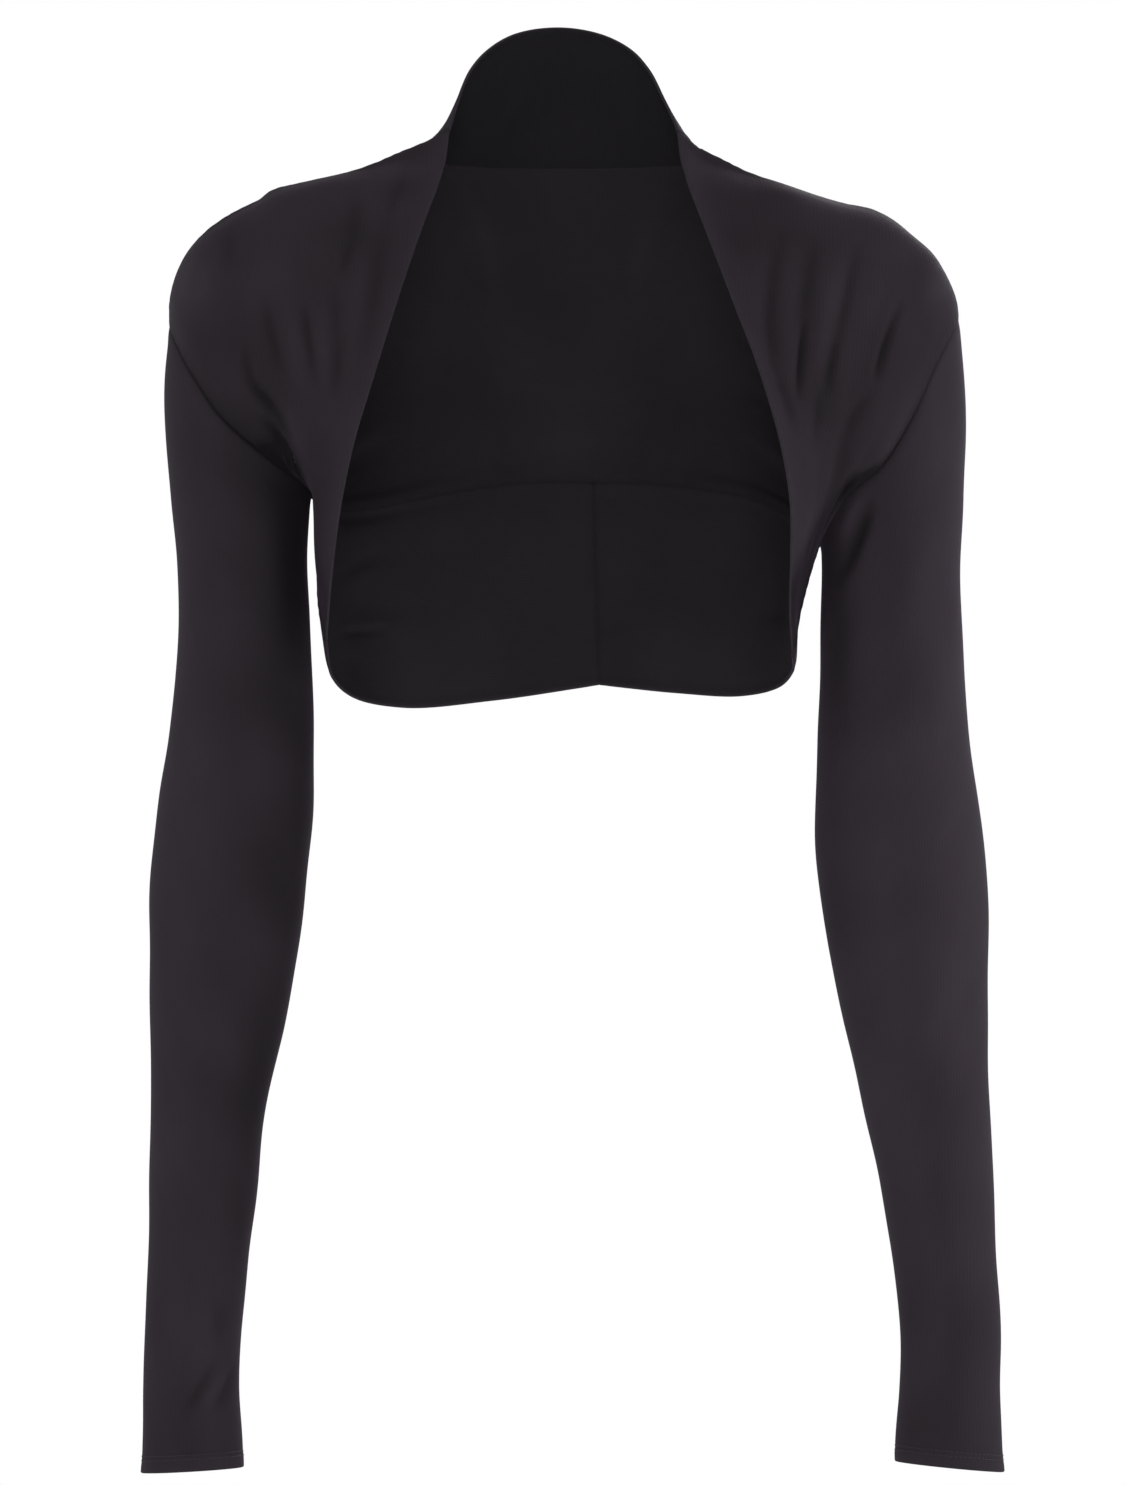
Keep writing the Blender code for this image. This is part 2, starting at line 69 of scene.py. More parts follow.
def linear(colour):
    """A hex colour in sRGB as linear red, green, blue and alpha."""
    channels = [int(colour[i : i + 2], 16) / 255 for i in (1, 3, 5)]
    return [c / 12.92 if c <= 0.04045 else ((c + 0.055) / 1.055) ** 2.4 for c in channels] + [1]


def add(tree, kind, inputs=(), **settings):
    """Adds a node with its settings. Its inputs are values, or outputs of other nodes to link."""
    made = tree.nodes.new(kind)
    for name, value in settings.items():
        setattr(made, name, value)
    for socket, value in dict(inputs).items():
        if isinstance(value, bpy.types.NodeSocket):
            tree.links.new(value, made.inputs[socket])
        else:
            made.inputs[socket].default_value = value
    return made


def new_material(name, sockets):
    """A material whose shader has its sockets set to these values."""
    material = bpy.data.materials.new(name)
    material.use_nodes = True
    for socket, value in sockets.items():
        material.node_tree.nodes["Principled BSDF"].inputs[socket].default_value = value
    return material


def new_object(name, verts, faces, *finishes):
    """A mesh in the scene, with its materials in the order of their slots."""
    mesh = bpy.data.meshes.new(name)
    mesh.from_pydata(verts, [], faces)
    for finish in finishes:
        mesh.materials.append(finish)
    made = bpy.data.objects.new(name, mesh)
    scene.collection.objects.link(made)
    return made


FLOOR_DEPTH = -1450 * MM
FLOOR_REACH = 4.5  # metres

# Matt wall paint: it has no gloss, so the floor stays an even white.
paint = new_material("matt_white_floor_paint", {"Base Color": linear("#f4f4f4"), "Roughness": 0.9})
corners = [(-1, -1), (1, -1), (1, 1), (-1, 1)]
floor_points = [(x * FLOOR_REACH, y * FLOOR_REACH, FLOOR_DEPTH) for x, y in corners]
new_object("floor", floor_points, [(0, 1, 2, 3)], paint)

# How far up and to the left a way points where the room starts to dim and where it's dimmest, and
# how bright it is there.
Dimming = namedtuple("Dimming", "axis start end brightness")

room = bpy.data.worlds.new("white_studio")
scene.world = room
room.use_nodes = True
place = add(room.node_tree, "ShaderNodeTexCoord")
way = add(room.node_tree, "ShaderNodeSeparateXYZ", {0: place.outputs["Generated"]})
dimmed = []
for dimming in (Dimming("Z", 0.25, 0.9, 0.48), Dimming("X", 0.2, 0.9, 0.29)):
    limits = {"From Min": dimming.start, "From Max": dimming.end, "To Min": 1, "To Max": dimming.brightness}
    share = add(room.node_tree, "ShaderNodeMapRange", {"Value": way.outputs[dimming.axis], **limits})
    dimmed.append(share.outputs["Result"])
brightness = add(room.node_tree, "ShaderNodeMath", {0: dimmed[0], 1: dimmed[1]}, operation="MULTIPLY")
room.node_tree.links.new(brightness.outputs[0], room.node_tree.nodes["Background"].inputs["Color"])

SoftBox = namedtuple("SoftBox", "name x y z wide tall watts")  # in metres
BOXES_AIM = Vector((0, 0, -0.3))
for box in (
    SoftBox("soft_box_left", 1.1, -0.05, -0.3, 0.25, 1.5, 15.5),
    SoftBox("soft_box_right", -1.15, -0.1, -0.3, 0.25, 1.5, 4.5),
    SoftBox("soft_box_above", 0, -0.6, 1.1, 1.2, 1.2, 11),
    SoftBox("soft_box_low", 0, -2.2, -1.2, 1.2, 0.8, 52),
    SoftBox("soft_box_behind", 0.7, 1.9, 0.8, 1, 1, 34),
):
    lamp = bpy.data.lights.new(box.name, "AREA")
    lamp.shape = "RECTANGLE"
    lamp.size = box.wide
    lamp.size_y = box.tall
    lamp.energy = box.watts
    holder = bpy.data.objects.new(box.name, lamp)
    holder.location = (box.x, box.y, box.z)
    holder.rotation_euler = (BOXES_AIM - holder.location).to_track_quat("-Z", "Y").to_euler()
    holder.visible_camera = False
    scene.collection.objects.link(holder)

# ======== the jersey ========
# Fine single jersey of viscose with a little elastane, piece-dyed charcoal and brushed by wear to a
# soft bloom. Its face shows fine upright wales, its back the cross rows of the loops.

WALE = 2.2 * MM  # real wales are 0.7 mm apart, too fine to show, so they are drawn three times as wide
COURSE = 1.7 * MM  # real courses are 0.5 mm apart, drawn coarser too
FIBRE = 0.35 * MM  # the tufts of fibre ends
BLOTCH = 60 * MM  # the patches that took the dye unevenly
TUFT_SHARE = 0.5  # how high the tufts stand, beside the loops
LOOP_SHARE, BLOTCH_SHARE = 0.45, 0.6  # how strongly the loops, with painted shade between them, and the blotches show in the colour
DARKEST, LIGHTEST = 0.2, 0.85  # the sums of these at which the dye is darkest and lightest
HOLLOW, HOLLOW_PAINTED_SHADE = -4, 0.25  # the depth of a hollow where painted shade leaves this share of the dye's colour
RIDGE, RIDGE_PAINTED_HIGHLIGHT = 2, 1.4  # and the height of a ridge where a painted highlight makes it this share
BUMP_DEPTH = 0.25 * MM  # how far the loops stand out


def jersey(name, dark, light, bloom, shine, across, along):
    """Dyed jersey: matt yarn with a dark ground between its rows, which is painted shade, and a bloom of
    short fibre ends, which lightens it where it turns away. `bloom` is how thick they stand and `shine`
    the gloss left on the yarn. `across` and `along` are how strongly the upright wales and the cross
    rows show. The attribute relief scales its colour: painted shade in its hollows, a painted highlight
    on its ridges, and the painted light and shade that each piece adds to it."""
    sockets = {"Roughness": 0.9, "Specular IOR Level": shine, "IOR": 1.5, "Sheen Weight": bloom}
    sockets.update({"Sheen Roughness": 0.45, "Sheen Tint": linear("#94809a")})
    material = new_material(name, sockets)
    tree = material.node_tree
    surface = tree.nodes["Principled BSDF"]
    place = add(tree, "ShaderNodeUVMap", uv_map="knit")
    rows = []
    for pitch, unevenness, direction, share in ((WALE, 0.8, "X", across), (COURSE, 1.5, "Y", along)):
        scale = math.tau / (20 * pitch)  # at which the bands of a wave texture lie one pitch apart
        bands = add(
            tree,
            "ShaderNodeTexWave",
            {"Vector": place.outputs[0], "Scale": scale, "Distortion": unevenness, "Detail": 1},
            wave_type="BANDS",
            bands_direction=direction,
        )
        rows.append(add(tree, "ShaderNodeMath", {0: bands.outputs["Fac"], 1: share}, operation="MULTIPLY"))
    loops = add(tree, "ShaderNodeMath", {0: rows[0].outputs[0], 1: rows[1].outputs[0]}, operation="ADD")
    fibres = add(tree, "ShaderNodeTexNoise", {"Vector": place.outputs[0], "Scale": 1 / FIBRE, "Detail": 2})
    tufts = add(tree, "ShaderNodeMath", {0: fibres.outputs["Fac"], 1: TUFT_SHARE}, operation="MULTIPLY")
    height = add(tree, "ShaderNodeMath", {0: loops.outputs[0], 1: tufts.outputs[0]}, operation="ADD")
    lit_loops = add(tree, "ShaderNodeMath", {0: height.outputs[0], 1: LOOP_SHARE}, operation="MULTIPLY")
    mottle = add(tree, "ShaderNodeTexNoise", {"Vector": place.outputs[0], "Scale": 1 / BLOTCH, "Detail": 4})
    blotches = add(tree, "ShaderNodeMath", {0: mottle.outputs["Fac"], 1: BLOTCH_SHARE}, operation="MULTIPLY")
    both = add(tree, "ShaderNodeMath", {0: blotches.outputs[0], 1: lit_loops.outputs[0]}, operation="ADD")
    dye = add(tree, "ShaderNodeValToRGB", {"Fac": both.outputs[0]})
    for end, position, colour in ((0, DARKEST, dark), (1, LIGHTEST, light)):
        dye.color_ramp.elements[end].position = position
        dye.color_ramp.elements[end].color = linear(colour)
    # Painted shade in the hollows and a painted highlight on the ridges, with each piece's other painted
    # light and shade, scale the dye.
    relief = add(tree, "ShaderNodeAttribute", attribute_name="relief")
    limits = {"From Min": HOLLOW, "From Max": RIDGE, "To Min": HOLLOW_PAINTED_SHADE, "To Max": RIDGE_PAINTED_HIGHLIGHT}
    shade = add(tree, "ShaderNodeMapRange", {"Value": relief.outputs["Fac"], **limits})
    painted_light = add(
        tree,
        "ShaderNodeVectorMath",
        {0: dye.outputs["Color"], "Scale": shade.outputs["Result"]},
        operation="SCALE",
    )
    bump = add(tree, "ShaderNodeBump", {"Height": height.outputs[0], "Strength": 0.5, "Distance": BUMP_DEPTH})
    tree.links.new(painted_light.outputs[0], surface.inputs["Base Color"])
    tree.links.new(bump.outputs["Normal"], surface.inputs["Normal"])
    return material


# The face is rubbed to a bloom, with hardly any gloss. The back has less bloom and more of the yarn's.
face_side = jersey("charcoal_viscose_jersey_face", "#181518", "#201c21", 0.07, 0.05, across=0.3, along=0.2)
# The back's dye, darker than the face's, is painted shade for the hollow inside.
shaded_back_side = jersey("charcoal_viscose_jersey_back_shaded", "#0d0b0d", "#161316", 0.025, 0.13, across=0.2, along=0.35)

# ======== the sleeves ========
# Each long sleeve is one tapered piece of jersey, closed by a seam under the arm and set into the
# armhole. It follows the arm, which bends a little forwards, and is turned up at the wrist.

RIGHT, LEFT = -1, 1
SIDE_NAMES = {RIGHT: "right", LEFT: "left"}
JERSEY = 1.0  # the thickness of one layer, with the air in its knit
SEAM_LAP = 0.7  # by how much the rounded edges of two sewn pieces press into each other
SEAM_SET_BACK = (JERSEY - SEAM_LAP) / 2
SEAM_DEPTH = 0.35  # how far a seam between two pieces in line draws them in
EDGE_STEPS = 4  # steps round a rounded edge
HALF_ROUND = 56  # steps round half a sleeve
SLEEVE_ROWS = 250

# The right and the left sleeve's outer and inner side, measured out from the middle of the body, how
# far back the middle of the arm lies, and half the depth from front to back.
Section = namedtuple("Section", "up right left back half_depth")
SLEEVE = [
    Section(-60, (217.8, 141.3), (214.9, 139.0), 6, 49),
    Section(-104, (221.6, 141.3), (218.6, 139.0), 6, 49),
    Section(-137, (221.2, 141.3), (219.5, 139.0), 6, 48),
    Section(-170, (218.2, 141.6), (218.0, 139.2), 6, 46),
    Section(-203, (215.0, 143.0), (216.9, 140.3), 6, 44),
    Section(-236, (213.6, 141.6), (217.4, 140.0), 5, 43),
    Section(-269, (215.6, 139.9), (219.0, 139.4), 4, 42),
    Section(-302, (219.5, 139.2), (221.4, 138.1), 2, 42),
    Section(-335, (224.6, 139.4), (226.0, 136.6), -1, 41),
    Section(-368, (228.2, 141.7), (229.4, 137.2), -5, 40),
    Section(-412, (228.4, 146.3), (230.6, 142.4), -11, 38),
    Section(-455, (227.9, 154.1), (230.0, 151.4), -17, 36),
    Section(-499, (226.8, 163.0), (230.2, 160.8), -23, 34),
    Section(-542, (226.8, 168.6), (231.6, 169.6), -29, 32),
    Section(-585, (227.2, 173.1), (233.2, 176.8), -35, 30),
    Section(-627, (229.0, 176.4), (234.8, 180.2), -41, 28),
    Section(-654, (228.6, 177.3), (233.4, 179.7), -44, 27),
    Section(-683, (228.8, 175.0), (234.9, 177.0), -47, 27),
    Section(-700, (229.9, 174.6), (235.8, 177.4), -49, 28),
]
WRIST = {RIGHT: (-697.5, -694.5), LEFT: (-697.0, -691.5)}

# The armhole seam's height, in degrees from the sleeve's outer side round to the armpit.
Armhole = namedtuple("Armhole", "around right left")
ARMHOLE = [
    Armhole(0, -75, -72), Armhole(30, -84, -79), Armhole(57, -105, -100), Armhole(78, -125, -127),
    Armhole(100, -140, -153), Armhole(126, -153, -167), Armhole(152, -161, -182),
    Armhole(180, -169, -195),
]

# The body lies in line with the sleeve round the armhole's top as far as this, in radians, and hangs
# side by side with it from there.
TURN_START, TURN_END = 1.7, 2.5

# A crease runs through three places, across and up as seen from straight in front or behind. It is
# a trough where its rise is negative and a ridge where it's positive.
Crease = namedtuple("Crease", "x1 z1 x2 z2 x3 z3 half_width rise")
CREASE_STEPS = 15
CREASE_TURN = 2.5  # how soon creases end where the cloth turns away from their side
CREASE_END = 0.04  # the share of a crease at each end that fades no further
SLEEVE_CREASES = {
    RIGHT: [
        Crease(-151, -171.7, -150, -215.2, -148.8, -258.9, 8, -1.6),
        Crease(-185.3, -605.3, -186.3, -614.3, -187.2, -623.8, 3.5, -1.1),
        Crease(-189.2, -635.3, -196.4, -649.1, -204.3, -661.7, 3, -1.7),
        Crease(-183.7, -640.8, -188.6, -648.6, -193.7, -656.2, 3.5, 1.2),
        Crease(-179.8, -636.8, -183.1, -648.8, -187, -659.8, 3, -1.5),
    ],
    LEFT: [
        Crease(163.2, -175.6, 157.5, -193.9, 148.8, -214.2, 3.6, -3.2),
        Crease(160, -169, 153.9, -180.7, 147.8, -194.5, 4, 2),
        Crease(147.8, -212.5, 146.8, -247.9, 147.6, -291.6, 7, -1.6),
    ],
}
SLEEVE_CREASES_BEHIND = {
    RIGHT: [
        Crease(-150, -176, -166, -205, -190, -226, 5, -1.6),
        Crease(-152, -196, -168, -224, -186, -238, 6, 1.0),
        Crease(-146, -352, -172, -362, -204, -352, 6, -1.4),
        Crease(-148, -372, -176, -384, -206, -380, 6, -1.1),
        Crease(-182, -640, -196, -652, -212, -655, 4, -1.1),
    ],
    LEFT: [
        Crease(148, -204, 164, -222, 186, -238, 5, -1.5),
        Crease(146, -226, 164, -246, 184, -256, 6, 0.9),
        Crease(144, -346, 170, -360, 202, -358, 6, -1.3),
        Crease(146, -376, 172, -380, 200, -370, 6, -1.0),
        Crease(186, -632, 200, -648, 216, -650, 4, -1.0),
    ],
}


def cubic(knots, rows, at):
    """The rows' values at the places `at`, along a smooth curve through them at the knots."""
    knots = np.asarray(knots, dtype=float)
    rows = np.asarray(rows, dtype=float)
    slopes = np.gradient(rows, knots, axis=0)
    before = np.clip(np.searchsorted(knots, at, side="right") - 1, 0, len(knots) - 2)
    span = (knots[before + 1] - knots[before])[..., None]
    t = (at - knots[before])[..., None] / span
    start = (1 + 2 * t) * rows[before] + t * span * slopes[before]
    end = (3 - 2 * t) * rows[before + 1] - (1 - t) * span * slopes[before + 1]
    return (1 - t) ** 2 * start + t**2 * end


def unit(vectors):
    """The vectors, each of length 1."""
    return vectors / np.maximum(np.linalg.norm(vectors, axis=-1), 1e-9)[..., None]


def eased(share):
    """A share that leaves 0 and reaches 1 gently."""
    share = np.clip(share, 0, 1)
    return share * share * (3 - 2 * share)


def bell(reaches):
    """A share that is 1 at a place and fades within two reaches of it."""
    return np.exp(-(reaches**2))


def on_sleeve(side, around, up):
    """Points on a sleeve's outer face. `around` goes in radians from its outer side to its front.
    Each section is square to the arm, so below the elbow it tilts."""
    table = SLEEVE[::-1]
    heights = [row.up for row in table]
    columns = [(*getattr(row, SIDE_NAMES[side]), row.back, row.half_depth) for row in table]
    outer, inner, back, half_depth = np.moveaxis(cubic(heights, columns, up), -1, 0)
    lean = np.interp(up, heights, np.gradient([row.back for row in table], heights))
    x = side * ((outer + inner) / 2 + (outer - inner) / 2 * np.cos(around))
    forward = half_depth * np.sin(around)
    return np.stack([x, back - forward, up + lean * forward], axis=-1)


def armhole_heights(side, around):
    """The armhole seam's height. It is level at its top and at the armpit."""
    degrees = np.degrees(around) % 360
    from_outer = np.minimum(degrees, 360 - degrees)
    angles = [-row.around for row in ARMHOLE[2:0:-1]] + [row.around for row in ARMHOLE]
    angles += [360 - row.around for row in ARMHOLE[-2:-4:-1]]
    column = [getattr(row, SIDE_NAMES[side]) for row in ARMHOLE]
    heights = column[2:0:-1] + column + column[-2:-4:-1]
    return cubic(angles, np.array(heights)[:, None], from_outer)[..., 0]


def in_line(turn):
    """How far the body's cloth is in line with the sleeve, from 1 at the armhole's top to 0."""
    return np.clip((TURN_END - turn) / (TURN_END - TURN_START), 0, 1)


def seam_rise(flatness):
    """How far cloth stands out at a seam. Two pieces in line are drawn in by it, and two that hang
    side by side press against each other."""
    return JERSEY / 2 - (JERSEY / 2 + SEAM_DEPTH) * flatness


def outward(points, inside_out=False, closed=False):
    """The unit normal at each point of a piece. A closed one's last column is beside its first."""
    ring = np.concatenate([points[:, -1:], points, points[:, :1]], axis=1) if closed else points
    down = np.gradient(ring, axis=0)
    across = np.gradient(ring, axis=1)
    normals = unit(np.cross(down, across) * (-1 if inside_out else 1))
    return normals[:, 1:-1] if closed else normals


def creased(points, creases, normals, facing=-1):
    """How far each point stands out by the creases, on the side that faces the front, or behind
    where facing is 1."""
    flat = points[..., [0, 2]]
    turned = eased(facing * normals[..., 1] * CREASE_TURN)
    rise = np.zeros(points.shape[:2])
    share = np.linspace(0, 1, CREASE_STEPS)[:, None]
    parts = [(1 - share) * (1 - 2 * share), 4 * share * (1 - share), share * (2 * share - 1)]
    for crease in creases:
        course = sum(np.array(crease[2 * i : 2 * i + 2]) * part for i, part in enumerate(parts))
        nearest = np.full(points.shape[:2], np.inf)
        reach = np.zeros(points.shape[:2])
        for i, (start, end) in enumerate(zip(course, course[1:])):
            step = end - start
            t = np.clip(((flat - start) @ step) / (step @ step), 0, 1)
            distance = np.linalg.norm(flat - start - t[..., None] * step, axis=-1)
            closer = distance < nearest
            nearest = np.where(closer, distance, nearest)
            reach = np.where(closer, (i + t) / (len(course) - 1), reach)
        fading = np.sqrt(np.sin(np.pi * np.clip(reach, CREASE_END, 1 - CREASE_END)))
        rise += crease.rise * fading * bell(nearest / crease.half_width)
    return rise * turned


SWELL_COUNT = 14
SHORTEST_SWELL, LONGEST_SWELL = 38, 95  # from one swell to the next
FULL_TURN = 6.28  # in radians

draws = np.random.default_rng(11)
SWELLS = []
for _ in range(SWELL_COUNT):
    direction = unit(draws.normal(size=3))
    wave = direction * 2 * np.pi / draws.uniform(SHORTEST_SWELL, LONGEST_SWELL)
    SWELLS.append((wave, draws.uniform(0, FULL_TURN)))


def swells(points):
    """The slight swells and hollows that soft cloth always has."""
    return sum(np.sin(points @ wave + phase) for wave, phase in SWELLS) / SWELL_COUNT**0.5


def lengths(points, axis):
    """How far each point lies along its column or row from the first, in millimetres."""
    steps = np.linalg.norm(np.diff(points, axis=axis), axis=-1)
    start = np.zeros_like(np.take(steps, [0], axis=axis))
    return np.concatenate([start, np.cumsum(steps, axis=axis)], axis=axis)


def ringed(table, closed):
    """The table with its first column again after its last, if closed."""
    return np.concatenate([table, table[:, :1]], axis=1) if closed else table


def cloth(name, points, relief, thickness, inside_out=False, closed=False, lining=None, painted_shading=0):
    """A cut piece as a thin closed shell with rounded edges. The points are those of its face, before
    its relief. The material reads the relief as painted shade in hollows and a painted highlight on
    rises, a hollow on the back where it's a rise on the face, and adds the piece's other painted light
    and shade to both. `lining` is the finish inside, if it isn't the jersey's own back."""
    rows, columns = points.shape[:2]
    points = points + relief[..., None] * outward(points, inside_out, closed)
    normals = outward(points, inside_out, closed)
    thickness = np.broadcast_to(thickness, (rows, columns))
    inner = points - thickness[..., None] * normals
    # The wales run straight down its middle, so wider rows reach further out on both sides.
    knit = np.stack([lengths(ringed(points, closed), 1), ringed(lengths(points, 0), closed)], axis=-1)
    knit[..., 0] += (knit[:1, -1:, 0] - knit[:, -1:, 0]) / 2
    knit, far_end = knit[:, :columns], knit[:, -1]
    # The two faces, the second one turned over.
    count = rows * columns
    index = np.arange(count).reshape(rows, columns)
    down = ringed(index, closed)
    quads = np.stack([down[:-1, :-1], down[1:, :-1], down[1:, 1:], down[:-1, 1:]], axis=-1).reshape(-1, 4)
    if inside_out:
        quads = quads[:, ::-1]
    verts = [points.reshape(-1, 3), inner.reshape(-1, 3)]
    uvs = [knit.reshape(-1, 2)] * 2
    faces = [quads, quads[:, ::-1] + count]
    slots = [np.zeros(len(quads), int), np.ones(len(quads), int)]
    # What the material paints as shade and highlight on each face: the relief, turned over on the back, plus
    # the piece's other painted light and shade.
    painted_reliefs = [(painted_shading + relief).reshape(-1), (painted_shading - relief).reshape(-1)]
    # Its edges, half round from the one face to the other.
    if closed:
        loops = [index[0, ::-1], index[-1]]
    else:
        loops = [np.concatenate([index[0, ::-1], index[1:, 0], index[-1, 1:], index[-2:0:-1, -1]])]
    base = 2 * count
    for loop in loops:
        edge = points.reshape(-1, 3)[loop]
        out = normals.reshape(-1, 3)[loop]
        radius = thickness.reshape(-1)[loop, None] / 2
        beyond = unit(np.cross(np.roll(edge, -1, axis=0) - np.roll(edge, 1, axis=0), out))
        middle = edge - out * radius
        if np.sum((middle - points.reshape(-1, 3).mean(axis=0)) * beyond) < 0:
            beyond = -beyond
        rings = [loop]
        for step in range(1, EDGE_STEPS):
            turn = math.pi * step / EDGE_STEPS
            verts.append(middle + radius * (math.cos(turn) * out + math.sin(turn) * beyond))
            uvs.append(knit.reshape(-1, 2)[loop])
            painted_reliefs.append((painted_reliefs[0][loop] + painted_reliefs[1][loop]) / 2)
            rings.append(base + np.arange(len(loop)))
            base += len(loop)
        rings.append(loop + count)
        for one, other in zip(rings, rings[1:]):
            rim = np.stack([one, other, np.roll(other, -1), np.roll(one, -1)], axis=-1)
            faces.append(rim[:, ::-1] if inside_out else rim)
            slots.append(np.zeros(len(rim), int))
    verts, uvs = np.concatenate(verts), np.concatenate(uvs)
    faces, slots = np.concatenate(faces), np.concatenate(slots)
    piece = new_object(name, (verts * MM).tolist(), faces.tolist(), face_side, lining or shaded_back_side)
    mesh = piece.data
    mesh.polygons.foreach_set("material_index", slots)
    layer = mesh.uv_layers.new(name="knit")
    corner_verts = np.empty(len(mesh.loops), int)
    mesh.loops.foreach_get("vertex_index", corner_verts)
    corner_uvs = uvs[corner_verts]
    # Where a closed piece's last column meets its first, the knit goes on from the last.
    if closed:
        at_corner = (corner_verts % columns == 0) & (corner_verts < 2 * count)
        at_corner &= np.repeat(np.any((corner_verts % columns == columns - 1).reshape(-1, 4), axis=1), 4)
        corner_uvs[at_corner] = far_end[corner_verts[at_corner] % count // columns]
    layer.data.foreach_set("uv", (corner_uvs * MM).astype(np.float32).ravel())
    # The material reads this as painted shade and highlight.
    mesh.attributes.new("relief", "FLOAT", "POINT").data.foreach_set("value", np.concatenate(painted_reliefs))
    mesh.update()
    mesh.shade_smooth()
    return piece


def declare(piece, node):
    """Fixes a piece to the garment's one body in place of its solid, and hides the solid."""
    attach(piece, "root")
    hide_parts(node)


SEAM_WIDTH = 2.6  # how wide a seam draws in the cloth on each side
SEAM_REACH = 3.5  # creases fade this near a seam
SEAM_START = 6  # how far below the armhole the seam under the arm is at its full depth
SLEEVE_SWELL = 0.45  # how far the cloth swells out and in, free of the body
SWELL_REACH = 12  # swells fade this near a seam or an edge
CUFF_REACH = 20  # and this near the wrist

# Painted highlights make the cloth lighter and painted shade darker, both as if its relief were
# higher or lower by so much. A sleeve's painted highlight is this at the armhole, elbow and wrist.
SLEEVE_HIGHLIGHT = {RIGHT: (0, 0.9, 0), LEFT: (0.9, 1.9, 0.1)}
INNER_SHADE = {RIGHT: 3.0, LEFT: 1.8}  # how much darker painted shade makes it down its inner side
INNER_WIDTH = 1.2  # how far round from the seam under the arm, in radians
INNER_FADE = {RIGHT: (330, 480), LEFT: (60, 420)}  # how far below the armhole that fades, from and to
ARMHOLE_SHADE = 0.6  # how much darker painted shade makes it beside the armhole seam
ARMHOLE_LINE_SHADE = {RIGHT: 2.0, LEFT: 1.0}  # and in the seam itself
ARMHOLE_LINE_WIDTH = 0.8  # how wide that line is on each side

CUFF_HEM = 8.6  # how far the wrist is turned up
HEM_STEP = 1.6  # how wide the step is at the end of the turned cloth
HEM_RISE, HEM_LIGHTENING = 0.3, 0.4  # how far that stands out, and how much lighter its colour is made
TURN_BULK = 0.7  # how much thicker cloth is where it's turned
CUFF_ROWS = (5.6, 8.0)  # how far the two rows of its cover stitch lie from its edge
ROW_WIDTH, ROW_DEPTH = 0.8, 0.3  # how wide and how far each of them draws in the cloth
ROW_SHADE = 0.5  # how much darker painted shade makes the cloth there
STITCH_PITCH, STITCH_LENGTH, THREAD = 2.6, 2.1, 0.4
STITCH_LIFTS = (-0.2, 0.12, 0.18, 0.12, -0.2)  # how far a stitch stands out along its length
THREAD_SIDES = 6

# Matt polyester thread, dyed to match, so that only its small shadows show.
thread_look = {"Base Color": linear("#171118"), "Roughness": 0.6, "Specular IOR Level": 0.3}
thread = new_material("dyed_polyester_thread", thread_look)


def ring_at(surface, from_wrist, distance):
    """The points of a sleeve's surface at a distance from its wrist edge, one for each column."""
    columns = range(surface.shape[1])
    ring = [
        [np.interp(distance, from_wrist[::-1, column], surface[::-1, column, axis]) for axis in range(3)]
        for column in columns
    ]
    return np.array(ring)


def sew_cuff(name, surface, normals, from_wrist):
    """The two rows of stitches round a cuff: short threads that dip into the cloth at both ends."""
    verts, faces = [], []
    for row in CUFF_ROWS:
        ring = ring_at(surface, from_wrist, row)
        facing = unit(ring_at(normals, from_wrist, row))
        ring, facing = np.concatenate([ring, ring[:1]]), np.concatenate([facing, facing[:1]])
        run = np.append(0, np.cumsum(np.linalg.norm(np.diff(ring, axis=0), axis=1)))
        count = round(run[-1] / STITCH_PITCH)
        for start in np.arange(count) * run[-1] / count:
            at = np.clip(start + np.linspace(0, STITCH_LENGTH, len(STITCH_LIFTS)), 0, run[-1])
            core = np.stack([np.interp(at, run, ring[:, axis]) for axis in range(3)], axis=-1)
            out = unit(np.stack([np.interp(at, run, facing[:, axis]) for axis in range(3)], axis=-1))
            core = core + out * np.array(STITCH_LIFTS)[:, None]
            aside = unit(np.cross(np.gradient(core, axis=0), out))
            base = len(verts) * len(STITCH_LIFTS)
            for step in range(THREAD_SIDES):
                turn = 2 * math.pi * step / THREAD_SIDES
                verts.append(core + THREAD / 2 * (math.cos(turn) * out + math.sin(turn) * aside))
            index = base + np.arange(THREAD_SIDES * len(STITCH_LIFTS)).reshape(THREAD_SIDES, -1)
            after = np.roll(index, -1, axis=0)
            quads = np.stack([index[:, :-1], after[:, :-1], after[:, 1:], index[:, 1:]], axis=-1)
            faces += quads.reshape(-1, 4).tolist() + [index[::-1, 0].tolist(), index[:, -1].tolist()]
    stitches = new_object(name, (np.concatenate(verts) * MM).tolist(), faces, thread)
    stitches.data.shade_smooth()
    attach(stitches, "root")


